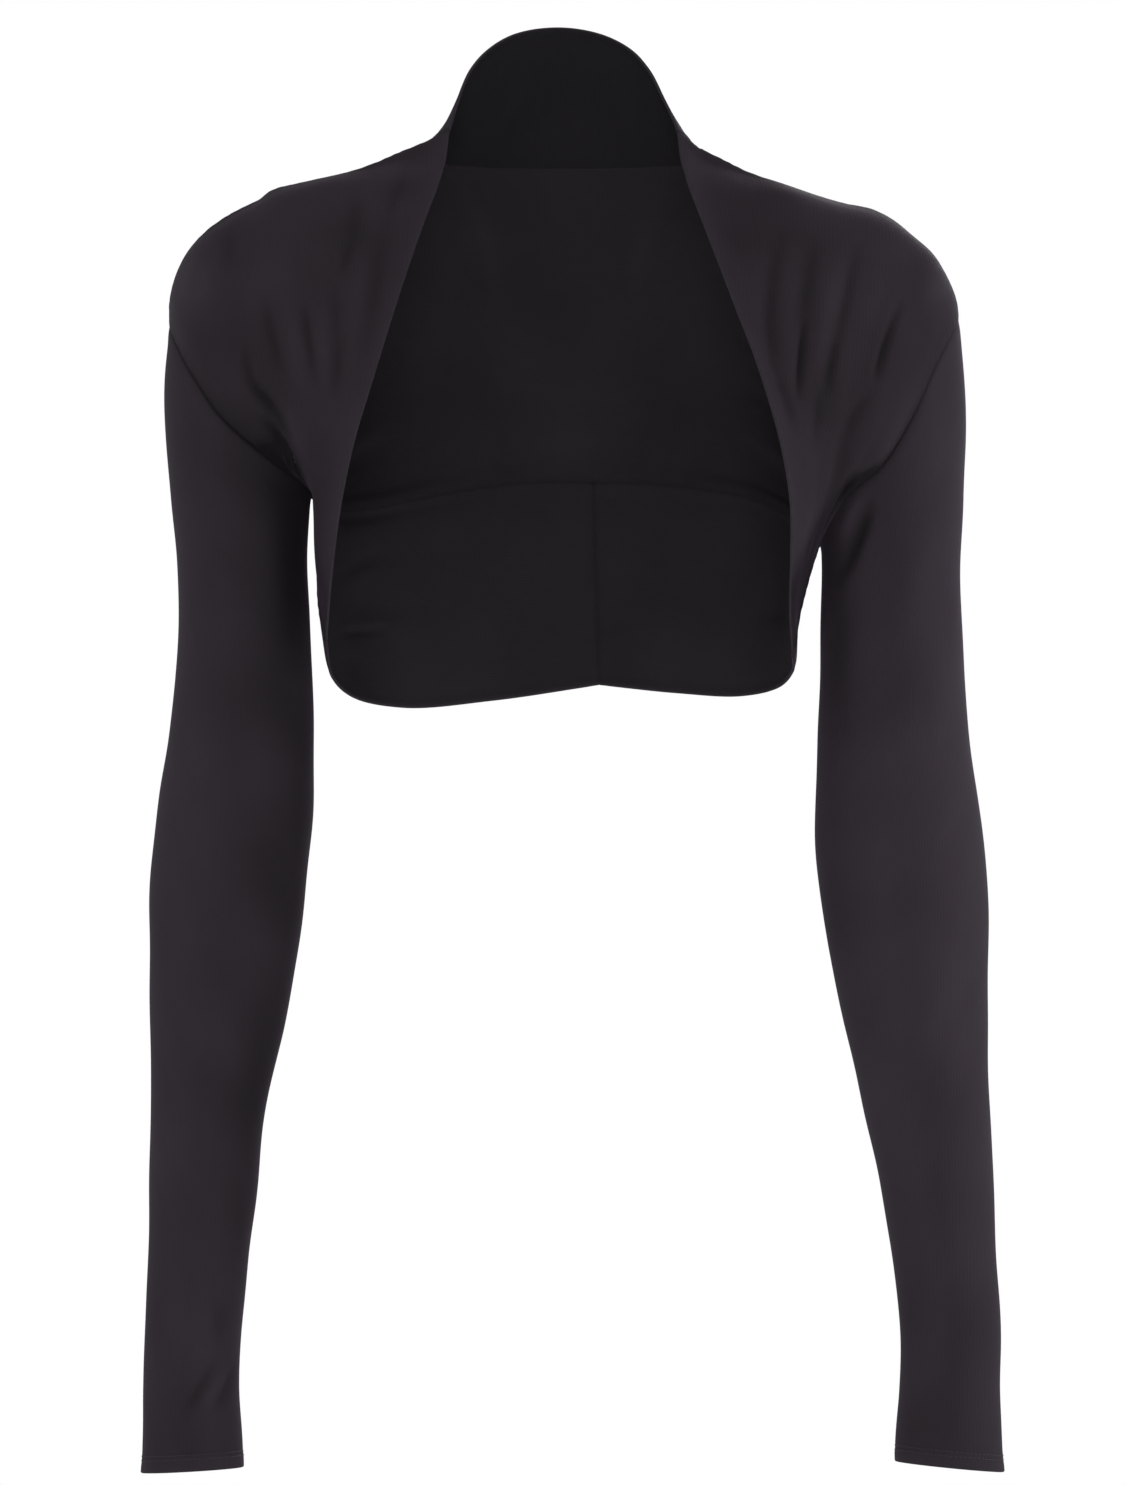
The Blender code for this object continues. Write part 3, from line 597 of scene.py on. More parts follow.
def make_sleeve(side):
    """One sleeve and its cuff's stitches. Its columns start and end at the seam under the arm."""
    around = np.pi + np.linspace(0, 2 * np.pi, 2 * HALF_ROUND, endpoint=False)[None, :]
    top = armhole_heights(side, around) - SEAM_SET_BACK
    outer, inner = WRIST[side]
    wrist = (outer + inner) / 2 + (outer - inner) / 2 * np.cos(around) + JERSEY / 2
    share = np.linspace(0, 1, SLEEVE_ROWS + 1)[:, None]
    up = top + (wrist - top) * share
    points = on_sleeve(side, np.broadcast_to(around, up.shape), up)
    inside_out = side == LEFT
    from_top = lengths(points, 0)
    from_wrist = from_top[-1:] - from_top
    normals = outward(points, inside_out, closed=True)
    relief = SLEEVE_SWELL * eased(from_top / SWELL_REACH) * eased(from_wrist / CUFF_REACH) * swells(points)
    folds = creased(points, SLEEVE_CREASES[side], normals)
    folds += creased(points, SLEEVE_CREASES_BEHIND[side], normals, facing=1)
    relief += eased(from_top / SEAM_REACH) * folds
    from_underarm = np.pi - np.abs(around - 2 * np.pi)
    relief += seam_rise(in_line(np.pi - from_underarm)) * bell(from_top / SEAM_WIDTH)
    relief[:, 0] -= SEAM_DEPTH * eased(from_top / SEAM_START)[:, 0]
    hem = 1 - eased((from_wrist - CUFF_HEM + HEM_STEP / 2) / HEM_STEP)
    stitched = sum(bell((from_wrist - row) / ROW_WIDTH) for row in CUFF_ROWS)
    relief += HEM_RISE * hem - ROW_DEPTH * stitched
    # Painted light and shade: lighter along the arm and on the hem, with painted shade in the cuff's stitch
    # rows, beside the armhole seam and down the inner side.
    painted_shading = cubic([0, 0.5, 1], np.array(SLEEVE_HIGHLIGHT[side])[:, None], share)[..., 0]
    painted_shading = painted_shading + HEM_LIGHTENING * hem - ROW_SHADE * stitched
    painted_shading -= ARMHOLE_SHADE * bell(from_top / SEAM_WIDTH)
    painted_shading -= ARMHOLE_LINE_SHADE[side] * bell(from_top / ARMHOLE_LINE_WIDTH)
    fade_start, fade_end = INNER_FADE[side]
    fading = 1 - eased((from_top - fade_start) / (fade_end - fade_start))
    painted_shading -= INNER_SHADE[side] * fading * bell(from_underarm / INNER_WIDTH)
    name = f"jersey_sleeve_{SIDE_NAMES[side]}"
    piece = cloth(name, points, relief, JERSEY + TURN_BULK * hem, inside_out, closed=True, painted_shading=painted_shading)
    declare(piece, f"sleeve_{SIDE_NAMES[side]}")
    surface = points + relief[..., None] * normals
    sew_cuff(f"cuff_stitches_{SIDE_NAMES[side]}", surface, normals, from_wrist)


for body_side in (RIGHT, LEFT):
    make_sleeve(body_side)

# ======== the fronts ========
# Each front runs from the shoulder seam, over the shoulder, to the armhole seam and the side seam.
# Its opening edge is folded under, and soft gathers fan out from it over the chest.

FRONT_COLUMNS = 126
COLLAR_END_COLUMNS = 9
FRONT_ROWS = 168

Point = namedtuple("Point", "out back up")
OPENING_EDGE = {
    RIGHT: [
        Point(65.7, 10, 35.4), Point(67.5, -8, 15.5), Point(70.4, -22, 2.8),
        Point(77.9, -43, -21.3), Point(91.7, -67, -66.9), Point(104.6, -77, -110.5),
        Point(114.3, -76, -142.5), Point(122.2, -67, -176.2), Point(126.8, -51, -201.2),
        Point(130.5, -30, -224.0), Point(134.5, 6, -248.0),
    ],
    LEFT: [
        Point(62.0, 10, 34.9), Point(63.6, -8, 15.5), Point(66.5, -22, 2.8),
        Point(74.1, -43, -21.3), Point(89.8, -69, -67.1), Point(105.4, -79, -110.7),
        Point(114.7, -76, -142.5), Point(120.8, -64, -173.9), Point(122.4, -45, -204.0),
        Point(123.2, -22, -231.6), Point(126.3, 6, -257.3),
    ],
}
SHOULDER_SEAM = {
    RIGHT: [
        Point(79.5, 14, 27.9), Point(90.0, 12, 23.4), Point(107.7, 11, 15.5),
        Point(122.0, 10, 10.4), Point(140.2, 10, 6.3), Point(152.5, 10, 3.6), Point(158.5, 10, 2.3),
        Point(163.8, 10, 0.2), Point(169.2, 10, -4.2), Point(176.5, 9, -7.8),
        Point(187.5, 8, -13.6), Point(198.5, 7, -21.6), Point(205.5, 7, -29.0),
        Point(214.6, 6, -45.5), Point(219.0, 6, -61.0),
    ],
    LEFT: [
        Point(73.0, 14, 25.0), Point(82.8, 12, 20.0), Point(100.0, 11, 11.1), Point(124.2, 10, 2.3),
        Point(153.5, 10, -6.8), Point(168.0, 10, -9.8), Point(178.8, 9, -15.4),
        Point(189.5, 8, -24.4), Point(200.4, 7, -34.0), Point(208.6, 6, -47.0),
        Point(214.2, 6, -60.0),
    ],
}
SIDE_SEAM = {
    RIGHT: [Point(136.2, 3, -177), Point(135.8, 3, -190), Point(138.0, 3, -207), Point(137.8, 4, -226)],
    LEFT: [Point(136.2, 3, -206), Point(131.6, 4, -222), Point(128.2, 5, -237)],
}
FRONT_CREASES = {
    RIGHT: [
        Crease(-183.5, -26, -182.9, -35.5, -182.9, -49.3, 4.5, -1),
        Crease(-162.1, -63.4, -158.7, -84.7, -152.6, -103.7, 3, -1.2),
        Crease(-145.9, -29.7, -143.9, -45, -142.5, -60.7, 4, -0.5),
        Crease(-140.7, -70.6, -138.4, -88, -134.5, -109.7, 2.8, -1.7),
        Crease(-114.7, -3.6, -115.2, -18.6, -116, -33, 4.5, -1.1),
        Crease(-116.5, -33, -119, -42.1, -120.9, -51.1, 3, -1.1),
        Crease(-124.6, -58.4, -123.8, -77.6, -123.2, -93.7, 4, -0.9),
        Crease(-122.2, -91, -122.7, -103.4, -123.1, -116.3, 3, -1.1),
        Crease(-97.9, -25.8, -102.6, -58.2, -107.6, -91.3, 4.5, -1),
        Crease(-85.6, 12.5, -92.1, -3, -98, -22.3, 3.5, -0.9),
        Crease(-172.9, -92.6, -169.6, -109.8, -161, -121.6, 2.6, -1.3),
        Crease(-166.4, -113, -158.3, -124.9, -150.3, -138.8, 3.2, -1.9),
        Crease(-163.4, -130, -155, -141.6, -146, -157.7, 3, -2.4),
        Crease(-159.4, -140.5, -152.2, -152, -142.5, -168.2, 5, -2.2),
        Crease(-190.1, -110.8, -172.3, -134, -151.9, -157.7, 8, -1.2),
        Crease(-150.7, -122.3, -144.4, -140.9, -137.9, -161.4, 4, 1),
        Crease(-200.6, -40.9, -200.7, -54.2, -201, -67.4, 9, 2.4),
        Crease(-150.1, -66, -147.1, -85.1, -143.8, -109.4, 4, 0.6),
        Crease(-131.4, -66.6, -129.1, -88.4, -128, -109.9, 4, 0.5),
        Crease(-111.5, -38.6, -112.6, -77.5, -116.1, -115.5, 4, 0.5),
        Crease(-106.5, 4.2, -92.5, 7.9, -76.2, 10.9, 6, 1.6),
    ],
    LEFT: [
        Crease(116.5, -30, 109.3, -72, 112.6, -112.9, 3.5, -1.3),
        Crease(112.7, -110.2, 116.5, -121.8, 120.4, -135.5, 3, -1.2),
        Crease(133.2, -35, 129.4, -58.2, 127.5, -80.1, 4.5, -1.5),
        Crease(128, -78.5, 125.2, -96.4, 123, -118.5, 2.3, -2.2),
        Crease(156.3, -37.5, 149.6, -65.6, 143.3, -90.4, 3.6, -1.5),
        Crease(144.4, -87.7, 141.6, -99.7, 139.4, -115.8, 3.2, -1.5),
        Crease(179.2, -67.6, 170.8, -90.7, 165.8, -107.6, 2.5, -1.9),
        Crease(162, -117.3, 155.6, -125.9, 151.4, -136.5, 3.5, -0.9),
        Crease(135, -117.1, 134, -129.9, 132.5, -143.6, 3, -0.9),
        Crease(150.8, -132.9, 147.8, -148.7, 144.1, -167.1, 4, -0.7),
        Crease(124, -31.8, 119, -66.5, 117.1, -105.7, 4, 0.8),
        Crease(146.3, -37.8, 137.8, -76.1, 130.6, -116.2, 4, 0.6),
        Crease(170, -38.2, 162.1, -70.9, 152, -104.8, 5, 0.5),
        Crease(106.7, -35.7, 101.8, -66.6, 103, -94.2, 5, 0.5),
        Crease(199.5, -42.5, 199.0, -54.4, 198.2, -66.9, 8, 2.4),
        Crease(171.6, -156.3, 163.6, -159.4, 156.9, -164.6, 4, -1.4),
        Crease(154.4, -161.6, 151.2, -173, 139.4, -192.1, 4, -3.2),
        Crease(69.6, 9.9, 82.7, 6.4, 97.2, 1.1, 6, 1.6),
    ],
}
FRONT_SWELL = 0.5
# Under each arm the cloth is drawn in clear of the sleeve: from which height down, over what height,
# how far out it may stay there and how gently it bends, and from how far inside the armhole.
UNDERARM = {RIGHT: -156, LEFT: -186}
UNDERARM_SPAN = 16
UNDERARM_OUT, UNDERARM_BEND = 138.3, 3
UNDERARM_REACH = 4
# Painted shade darkens it there (a highlight where negative) from so far above and so far across.
UNDERARM_SHADE = {RIGHT: 5, LEFT: -1.5}
SHADE_ABOVE, SHADE_ACROSS = 18, 24
# The share of the top edge where the cloth starts to leave it level, over which it comes to do so
# fully, and over which that ends at the armhole.
LEVEL_START, LEVEL_SPAN, LEVEL_END = 0.05, 0.25, 0.1
ARMHOLE_REACH, ARMHOLE_SHARE = 20, 0.14  # how far and how strongly the armhole shapes the cloth
ARMHOLE_PROBE = 2  # how far below the armhole seam the way of the sleeve's cloth is taken
FORWARD, BACKWARD = np.array([0, -1, 0]), np.array([0, 1, 0])
UPWARD, DOWNWARD = np.array([0, 0, 1]), np.array([0, 0, -1])
EDGES = ("top", "foot", "first", "last")
CORNER = 8  # how far from a corner a seam shapes the cloth beside it less
SETTLE_REACH = 30  # how far from its top and foot a panel settles fully
SETTLE_TIMES = 40
TURN_SET_BACK = 0.9  # how far a folded edge is set back to make room for its rounding
TURN_DROP = 0.8  # how far the cloth falls away over a folded edge
TURN_REACH = 2.6  # how far in from the edge it does so
TURN_HIGHLIGHT = 1.3  # how much lighter a painted highlight makes it there
NEAR_REACH, NEAR_HIGHLIGHT = 14, 0.4  # how far in from the edge a broader painted highlight reaches, and how much
SEAM_SHADE, SEAM_SPREAD = 0.7, 2.6  # how much darker painted shade makes it beside a seam, and how wide
SEAM_LINE_SHADE, LINE_SPREAD = 1.6, 1.1  # and in the seam itself
PUCKER_RISE = 0.12  # how far the puckers between a seam's stitches stand out
PUCKER_PITCH, PUCKER_DRIFT = 7.3, 31  # how far apart they are, and over what length that varies
PUCKER_UNEVENNESS = 1.6  # how much it varies, in radians
PUCKER_START, PUCKER_MIDDLE, PUCKER_WIDTH = 2, 2.5, 3  # where they are, measured from the seam
LOW_SHADE = 1.0  # how much darker painted shade makes the fronts below the shoulders, away from their folded edges
LOW_START, LOW_END = -55, -110


def along(points, shares):
    """Points at shares of the length of a smooth curve through the points."""
    points = np.asarray(points, dtype=float)
    spans = np.linalg.norm(np.diff(points, axis=0), axis=1)
    knots = np.append(0, np.cumsum(spans)) / spans.sum()
    return cubic(knots, points, np.asarray(shares, dtype=float))


def on_side(side, points):
    """A side's table in X, Y and Z."""
    return [(side * p.out, p.back, p.up) for p in points]


def armhole(side, front, steps=FRONT_ROWS):
    """The body's edge of the armhole seam, from its top to the armpit, the way in which the body's
    cloth leaves it, and how flat the seam lies: in line with the sleeve, but beside it lower down."""
    turn = np.linspace(0, np.pi, steps + 1)
    around = turn if front else -turn
    heights = armhole_heights(side, around)
    loop = on_sleeve(side, around, heights)
    down = on_sleeve(side, around, heights - ARMHOLE_PROBE) - loop
    course = np.gradient(loop, axis=0)
    along_seam = course * np.sum(down * course, axis=1)[:, None] / np.sum(course**2, axis=1)[:, None]
    leaving = unit(along_seam - down)
    flatness = in_line(turn)
    return loop, leaving * flatness[:, None], flatness


def panel(top, foot, first, last, fullness=None, level=None):
    """A panel's points in rows, from its top edge to its foot, between its first and last edges.
    `fullness` scales how far the inner columns stand out as the side edges do. `level` is how far
    each column leaves the top edge square to it, as cloth does that lies over a shoulder."""
    v = np.linspace(0, 1, len(first))[:, None, None]
    u = np.linspace(0, 1, len(top))[None, :, None]
    fullness = np.ones(len(top)) if fullness is None else fullness
    straight = (1 - v) * top + v * foot
    out_first = (first - straight[:, 0])[:, None]
    out_last = (last - straight[:, -1])[:, None]
    points = straight + fullness[None, :, None] * ((1 - u) * out_first + u * out_last)
    if level is not None:
        course = np.gradient(top, axis=0)
        up = unit(np.stack([-course[:, 2], np.zeros(len(top)), course[:, 0]], axis=-1))
        leaving = (points[1] - points[0]) * (len(first) - 1)
        sinking = np.sum(leaving * up, axis=1)[:, None] * up
        points = points - (v * (1 - v) ** 2) * level[None, :, None] * sinking
    return points


def turned_to(points, edge):
    """A view of the points with the edge as its first row."""
    if edge in ("first", "last"):
        points = points.transpose(1, 0, 2)
    return points[::-1] if edge in ("foot", "last") else points


def turned_back(points, edge):
    """The points as they were before they were turned to the edge."""
    if edge in ("foot", "last"):
        points = points[::-1]
    return points.transpose(1, 0, 2) if edge in ("first", "last") else points


def sewn(points, edge, leaving=None, set_back=SEAM_SET_BACK, reach=11.0, share=1.0):
    """The panel with one edge set back to make room for its rounding. Where a direction is given, the
    cloth leaves the edge by it, or by a share of it, and falls in with the panel within `reach`.
    Beside the edge's two ends it keeps to the panel's own sides."""
    points = turned_to(points, edge)
    own = unit(points[1] - points[0])
    far = lengths(points, 0)[..., None]
    fading = 1 - eased(far / reach)
    moved = points + fading * set_back * own
    if leaving is not None:
        leaving = np.broadcast_to(leaving, own.shape)
        held = np.linalg.norm(leaving, axis=1)[:, None]
        leaving = unit(leaving + (1 - held) * own)
        course = unit(np.gradient(points[0], axis=0))
        leaving = unit(leaving - np.sum(leaving * course, axis=1)[:, None] * course)
        spread = lengths(points[:1], 1)[0]
        inner = eased(np.minimum(spread, spread[-1] - spread) / CORNER)[:, None]
        moved += fading * share * inner * (points[0] + leaving * far - points)
        moved += fading * inner * set_back * (leaving - own)
    return turned_back(moved, edge)


def beside(points, edge):
    """How far each point lies from an edge."""
    return turned_back(lengths(turned_to(points, edge), 0)[..., None], edge)[..., 0]


def with_seams(points, seams, folds):
    """A piece's relief: its folds, which fade at its seams, and how it is drawn in along them and
    puckered by their stitches. `seams` gives how flat each of them lies."""
    rise = folds
    for edge in seams:
        rise = rise * eased(beside(points, edge) / SEAM_REACH)
    for edge, flatness in seams.items():
        side = turned_to(points, edge)
        far, run = lengths(side, 0), lengths(side, 1)
        drift = PUCKER_UNEVENNESS * np.sin(run * 2 * np.pi / PUCKER_DRIFT)
        puckers = PUCKER_RISE * np.sin(run * 2 * np.pi / PUCKER_PITCH + drift)
        seam = seam_rise(flatness) * bell(far / SEAM_WIDTH)
        seam += puckers * eased(far / PUCKER_START) * bell((far - PUCKER_MIDDLE) / PUCKER_WIDTH)
        rise = rise + turned_back(seam[..., None], edge)[..., 0]
    return rise


def near(points, edges, reach):
    """How near each point is to some of the edges, from 1 at them down to 0."""
    return sum(bell(beside(points, edge) / reach) for edge in edges)


def painted_edge_shading(points, sewn_edges, folded_edges=()):
    """Painted light and shade: painted shade in and beside its seams, a painted highlight along its folded
    edges.
    """
    painted_light = TURN_HIGHLIGHT * near(points, folded_edges, TURN_REACH)
    painted_light = painted_light + NEAR_HIGHLIGHT * near(points, folded_edges, NEAR_REACH)
    beside_seams = SEAM_SHADE * near(points, sewn_edges, SEAM_SPREAD)
    return painted_light - beside_seams - SEAM_LINE_SHADE * near(points, sewn_edges, LINE_SPREAD)


def settled(points):
    """The panel with the corners of its top edge let out below it, as soft cloth settles."""
    held = eased(np.minimum(beside(points, "top"), beside(points, "foot")) / SETTLE_REACH)[:, 1:-1, None]
    for _ in range(SETTLE_TIMES):
        middle = (points[:, :-2] + points[:, 2:]) / 2
        points[:, 1:-1] += held / 2 * (middle - points[:, 1:-1])
    return points


def drawn_in(side, points):
    """A front, drawn in under the arm."""
    past = side * points[..., 0] - UNDERARM_OUT
    past = (past + np.sqrt(past**2 + UNDERARM_BEND)) / 2
    share = eased((UNDERARM[side] - points[..., 2]) / UNDERARM_SPAN)
    share *= eased(beside(points, "last") / UNDERARM_REACH)
    return points - (side * past * share)[..., None] * np.array([1, 0, 0])


def shoulder_seam(side, armhole_top, steps):
    """The shoulder seam's points, from the neck to the top of the armhole."""
    return along(on_side(side, SHOULDER_SEAM[side]) + [armhole_top], np.linspace(0, 1, steps + 1))


def leaving_collar_end(side, seam):
    """The way in which a front leaves the points of its top seam: down the opening edge at the
    collar's end, and straight forward past the shoulder seam's start."""
    opening = np.array(on_side(side, OPENING_EDGE[side][:2]))
    start = np.array(on_side(side, SHOULDER_SEAM[side][:1]))
    share = np.linalg.norm(seam - opening[0], axis=1) / np.linalg.norm(start - opening[0])
    share = np.clip(share, 0, 1)[:, None]
    return unit(unit(opening[1] - opening[0]) * (1 - share) + FORWARD * share)


def panel_cloth(
    name, points, inside_out, swell, creases, seams, painted_shading, facing=-1, folded_edges=(), lining=None
):
    """A panel as a piece of cloth, with its creases, its seams and its folded edge. `swell` is how far
    its swells rise, and `seams` gives how flat each seam lies."""
    free = eased(np.minimum.reduce([beside(points, edge) for edge in EDGES]) / SWELL_REACH)
    relief = swell * free * swells(points)
    folds = creased(points, creases, outward(points, inside_out), facing)
    turned = near(points, folded_edges, TURN_REACH)
    relief += with_seams(points, seams, folds) - TURN_DROP * turned
    return cloth(name, points, relief, JERSEY + TURN_BULK * turned, inside_out, lining=lining, painted_shading=painted_shading)


def make_front(side):
    """One front. Its top edge is sewn to the collar's end and the back, and its last to the sleeve."""
    opening = on_side(side, OPENING_EDGE[side])
    last, leaving_armhole, flatness = armhole(side, front=True)
    seam = shoulder_seam(side, last[0], FRONT_COLUMNS - COLLAR_END_COLUMNS)
    collar_end = np.linspace(opening[0], seam[0], COLLAR_END_COLUMNS + 1)
    top = np.concatenate([collar_end[:-1], seam])
    shares = np.linspace(0, 1, len(top))
    foot = along(opening[-1:] + on_side(side, SIDE_SEAM[side])[::-1] + [last[-1]], shares)
    first = along(opening, np.linspace(0, 1, len(last)))
    level = np.clip((shares - LEVEL_START) / LEVEL_SPAN, 0, 1) * np.clip((1 - shares) / LEVEL_END, 0, 1)
    points = drawn_in(side, settled(panel(top, foot, first, last, level=level)))
    points = sewn(points, "last", leaving_armhole, reach=ARMHOLE_REACH, share=ARMHOLE_SHARE)
    points = sewn(points, "top", leaving_collar_end(side, points[0]))
    points = sewn(points, "foot", FORWARD)
    points = sewn(points, "first", set_back=TURN_SET_BACK)
    # Painted light and shade: highlights at the folded edge, shade at the seams and low on the front, and
    # under the arm shade on the right and a highlight on the left.
    painted_shading = painted_edge_shading(points, ["top", "foot"], ["first"])
    painted_shading -= SEAM_SHADE * near(points, ["last"], SEAM_SPREAD)
    painted_shading -= ARMHOLE_LINE_SHADE[side] * near(points, ["last"], ARMHOLE_LINE_WIDTH)
    tucked = eased((UNDERARM[side] + SHADE_ABOVE - points[..., 2]) / UNDERARM_SPAN)
    painted_shading -= UNDERARM_SHADE[side] * tucked * near(points, ["last"], SHADE_ACROSS)
    low = eased((LOW_START - points[..., 2]) / (LOW_START - LOW_END))
    painted_shading -= LOW_SHADE * low * (1 - near(points, ["first"], NEAR_REACH))
    piece = panel_cloth(
        f"gathered_front_{SIDE_NAMES[side]}",
        points,
        inside_out=side == RIGHT,
        swell=FRONT_SWELL,
        creases=FRONT_CREASES[side],
        seams={"last": flatness, "top": 1, "foot": 1},
        painted_shading=painted_shading,
        folded_edges=["first"],
    )
    declare(piece, f"front_{SIDE_NAMES[side]}")


for body_side in (RIGHT, LEFT):
    make_front(body_side)

# ======== the upper back ========
# One piece from the neck seam and the shoulder seams down to the arched seam, cut full enough to
# lie over the shoulder blades.

BACK_SWELL = 0.35
BACK_ROWS = 112
SHOULDER_COLUMNS = 84
NECK_FLATNESS = 0.25  # the collar stands nearly square to the back
NECK_COLUMNS = 76
NECK_BLEND = 6  # the columns over which the neck seam turns into a shoulder seam
NECK_LEVEL_START, NECK_LEVEL_FULL = -1.5, 0.5  # how many blends past the neck its top comes to lie level
HALF_BAND_COLUMNS = SHOULDER_COLUMNS + NECK_COLUMNS // 2

Across = namedtuple("Across", "x back up")
NECK_SEAM = [
    Across(-78.4, 24, 24.7), Across(-72.5, 33, 20.2), Across(-52.0, 47, 18.3),
    Across(-27.0, 59, 19.0), Across(-2.0, 64, 19.4), Across(23.0, 59, 19.0), Across(47.0, 47, 18.3),
    Across(67.0, 33, 18.8), Across(72.1, 24, 21.9),
]
ARCH_SEAM = {
    RIGHT: [
        Across(-137, 34, -172.5), Across(-126, 62, -173.5), Across(-110, 79, -171.0),
        Across(-84, 92, -165.0), Across(-50, 98, -158.5), Across(-14, 100, -155.0),
    ],
    LEFT: [
        Across(53, 98, -156.5), Across(82, 92, -160.5), Across(104, 82, -165.0),
        Across(122, 62, -174.0), Across(134, 34, -186.0),
    ],
}
CENTRE_BACK = [Across(15.0, 100.5, -155.5), Across(16.5, 101, -210.0), Across(18.5, 98.5, -271.5)]
Fullness = namedtuple("Fullness", "share factor")
BACK_FULLNESS = [
    Fullness(0.0, 1.0), Fullness(0.2, 0.96), Fullness(0.35, 0.72), Fullness(0.5, 0.24),
    Fullness(0.65, 0.72), Fullness(0.8, 0.96), Fullness(1.0, 1.0),
]
BACK_CREASES = [
    Crease(-150, -165, -126, -140, -104, -126, 5, -1.8),
    Crease(-150, -150, -128, -124, -110, -104, 6, 1.2),
    Crease(-162, -146, -150, -118, -134, -92, 5, -1.4),
    Crease(150, -182, 128, -150, 104, -130, 5, -1.8),
    Crease(150, -164, 130, -134, 112, -108, 6, 1.2),
    Crease(164, -152, 150, -120, 136, -96, 5, -1.3),
    Crease(-58, 6, -46, -22, -42, -52, 5, -1.1),
    Crease(52, 4, 44, -20, 38, -46, 5, -1.0),
    Crease(-36, -96, 6, -104, 52, -98, 8, -0.5),
    Crease(-60, -122, -10, -132, 40, -128, 8, -0.5),
    Crease(98.5, -76.4, 107.4, -80.4, 114.8, -87, 2.5, 0.9),
    Crease(101.2, -89.7, 109.4, -93.9, 116.5, -100.6, 2.5, 0.8),
    Crease(100.8, -105, 108.6, -106.7, 114.6, -112.7, 2.5, 0.6),
    Crease(-112, 8, -110, -14, -112, -38, 5, -0.9),
    Crease(106, 4, 106, -18, 110, -40, 5, -0.8),
]


def arch_seam(side, armpit):
    """One half of the arched seam, from the armpit to the centre back. The tables go from right to
    left, so the left one is read backwards."""
    seam = [armpit] + ARCH_SEAM[side][::-side] + CENTRE_BACK[:1]
    return along(seam, np.linspace(0, 1, HALF_BAND_COLUMNS + 1))


def make_back():
    """The upper back, in columns from the right armhole to the left one."""
    first, leaving_right, flatness = armhole(RIGHT, front=False, steps=BACK_ROWS)
    last, leaving_left, _ = armhole(LEFT, front=False, steps=BACK_ROWS)
    right = shoulder_seam(RIGHT, first[0], SHOULDER_COLUMNS)[::-1]
    left = shoulder_seam(LEFT, last[0], SHOULDER_COLUMNS)
    neck = along([right[-1]] + NECK_SEAM + [left[0]], np.linspace(0, 1, NECK_COLUMNS + 1))
    top = np.concatenate([right, neck[1:-1], left])
    shares = np.linspace(0, 1, len(top))
    foot = np.concatenate([arch_seam(RIGHT, first[-1]), arch_seam(LEFT, last[-1])[-2::-1]])
    factors = [[row.factor] for row in BACK_FULLNESS]
    fullness = cubic([row.share for row in BACK_FULLNESS], factors, shares)[:, 0]
    # Where each column lies past the ends of the neck seam, or between them where it's negative.
    past_neck = (np.abs(np.arange(len(top)) - (len(top) - 1) / 2) - NECK_COLUMNS / 2) / NECK_BLEND
    level = np.clip((past_neck - NECK_LEVEL_START) / (NECK_LEVEL_FULL - NECK_LEVEL_START), 0, 1)
    level *= np.clip(np.minimum(shares, 1 - shares) / LEVEL_END, 0, 1)
    points = settled(panel(top, foot, first, last, fullness, level))
    at_neck = np.clip(-past_neck, 0, 1)
    set_back = SEAM_SET_BACK * (1 - at_neck)[:, None]
    points = sewn(points, "top", (past_neck >= 0)[:, None] * BACKWARD, set_back)
    points = sewn(points, "foot", UPWARD)
    points = sewn(points, "first", leaving_right, reach=ARMHOLE_REACH, share=ARMHOLE_SHARE)
    points = sewn(points, "last", leaving_left, reach=ARMHOLE_REACH, share=ARMHOLE_SHARE)
    top_flatness = 1 + (NECK_FLATNESS - 1) * at_neck
    piece = panel_cloth(
        "upper_back",
        points,
        inside_out=True,
        swell=BACK_SWELL,
        creases=BACK_CREASES,
        seams={"first": flatness, "last": flatness, "top": top_flatness, "foot": 1},
        painted_shading=painted_edge_shading(points, ["first", "last", "foot"]),
        facing=1,
    )
    declare(piece, "back_panel")


make_back()

# ======== the collar ========
# A band folded double along its top edge, sewn to the neck seam, and at its two ends to the fronts.
# It stands close round the back of the neck.

COLLAR_SWELL = 0.35
COLLAR_ROWS = 60
COLLAR_COLUMNS = 108
COLLAR_END_REACH = 6  # how far in from its ends the fronts shape the collar
COLLAR_EDGE = [
    Across(-64.3, 20, 43.4), Across(-62.3, 29, 53.5), Across(-54.8, 43, 73.4),
    Across(-47.0, 52, 83.7), Across(-32.0, 61, 94.3), Across(-4.0, 67, 99.6),
    Across(22.0, 62, 94.3), Across(38.8, 53, 83.7), Across(46.4, 45, 74.0), Across(55.8, 32, 54.3),
    Across(59.9, 22, 44.0),
]
COLLAR_CREASES = [
    Crease(-40, 40, -30, 52, -24, 66, 5, -0.7),
    Crease(30, 36, 34, 50, 30, 62, 5, -0.6),
    Crease(-12, 30, -4, 40, 10, 44, 6, -0.5),
]

# Folded double, the jersey shows its face inside too, dyed much darker and without bloom as painted shade.
shaded_collar_inside = jersey("charcoal_viscose_jersey_shaded_collar_inside", "#050406", "#0a080b", 0.0, 0.13, across=0.3, along=0.15)


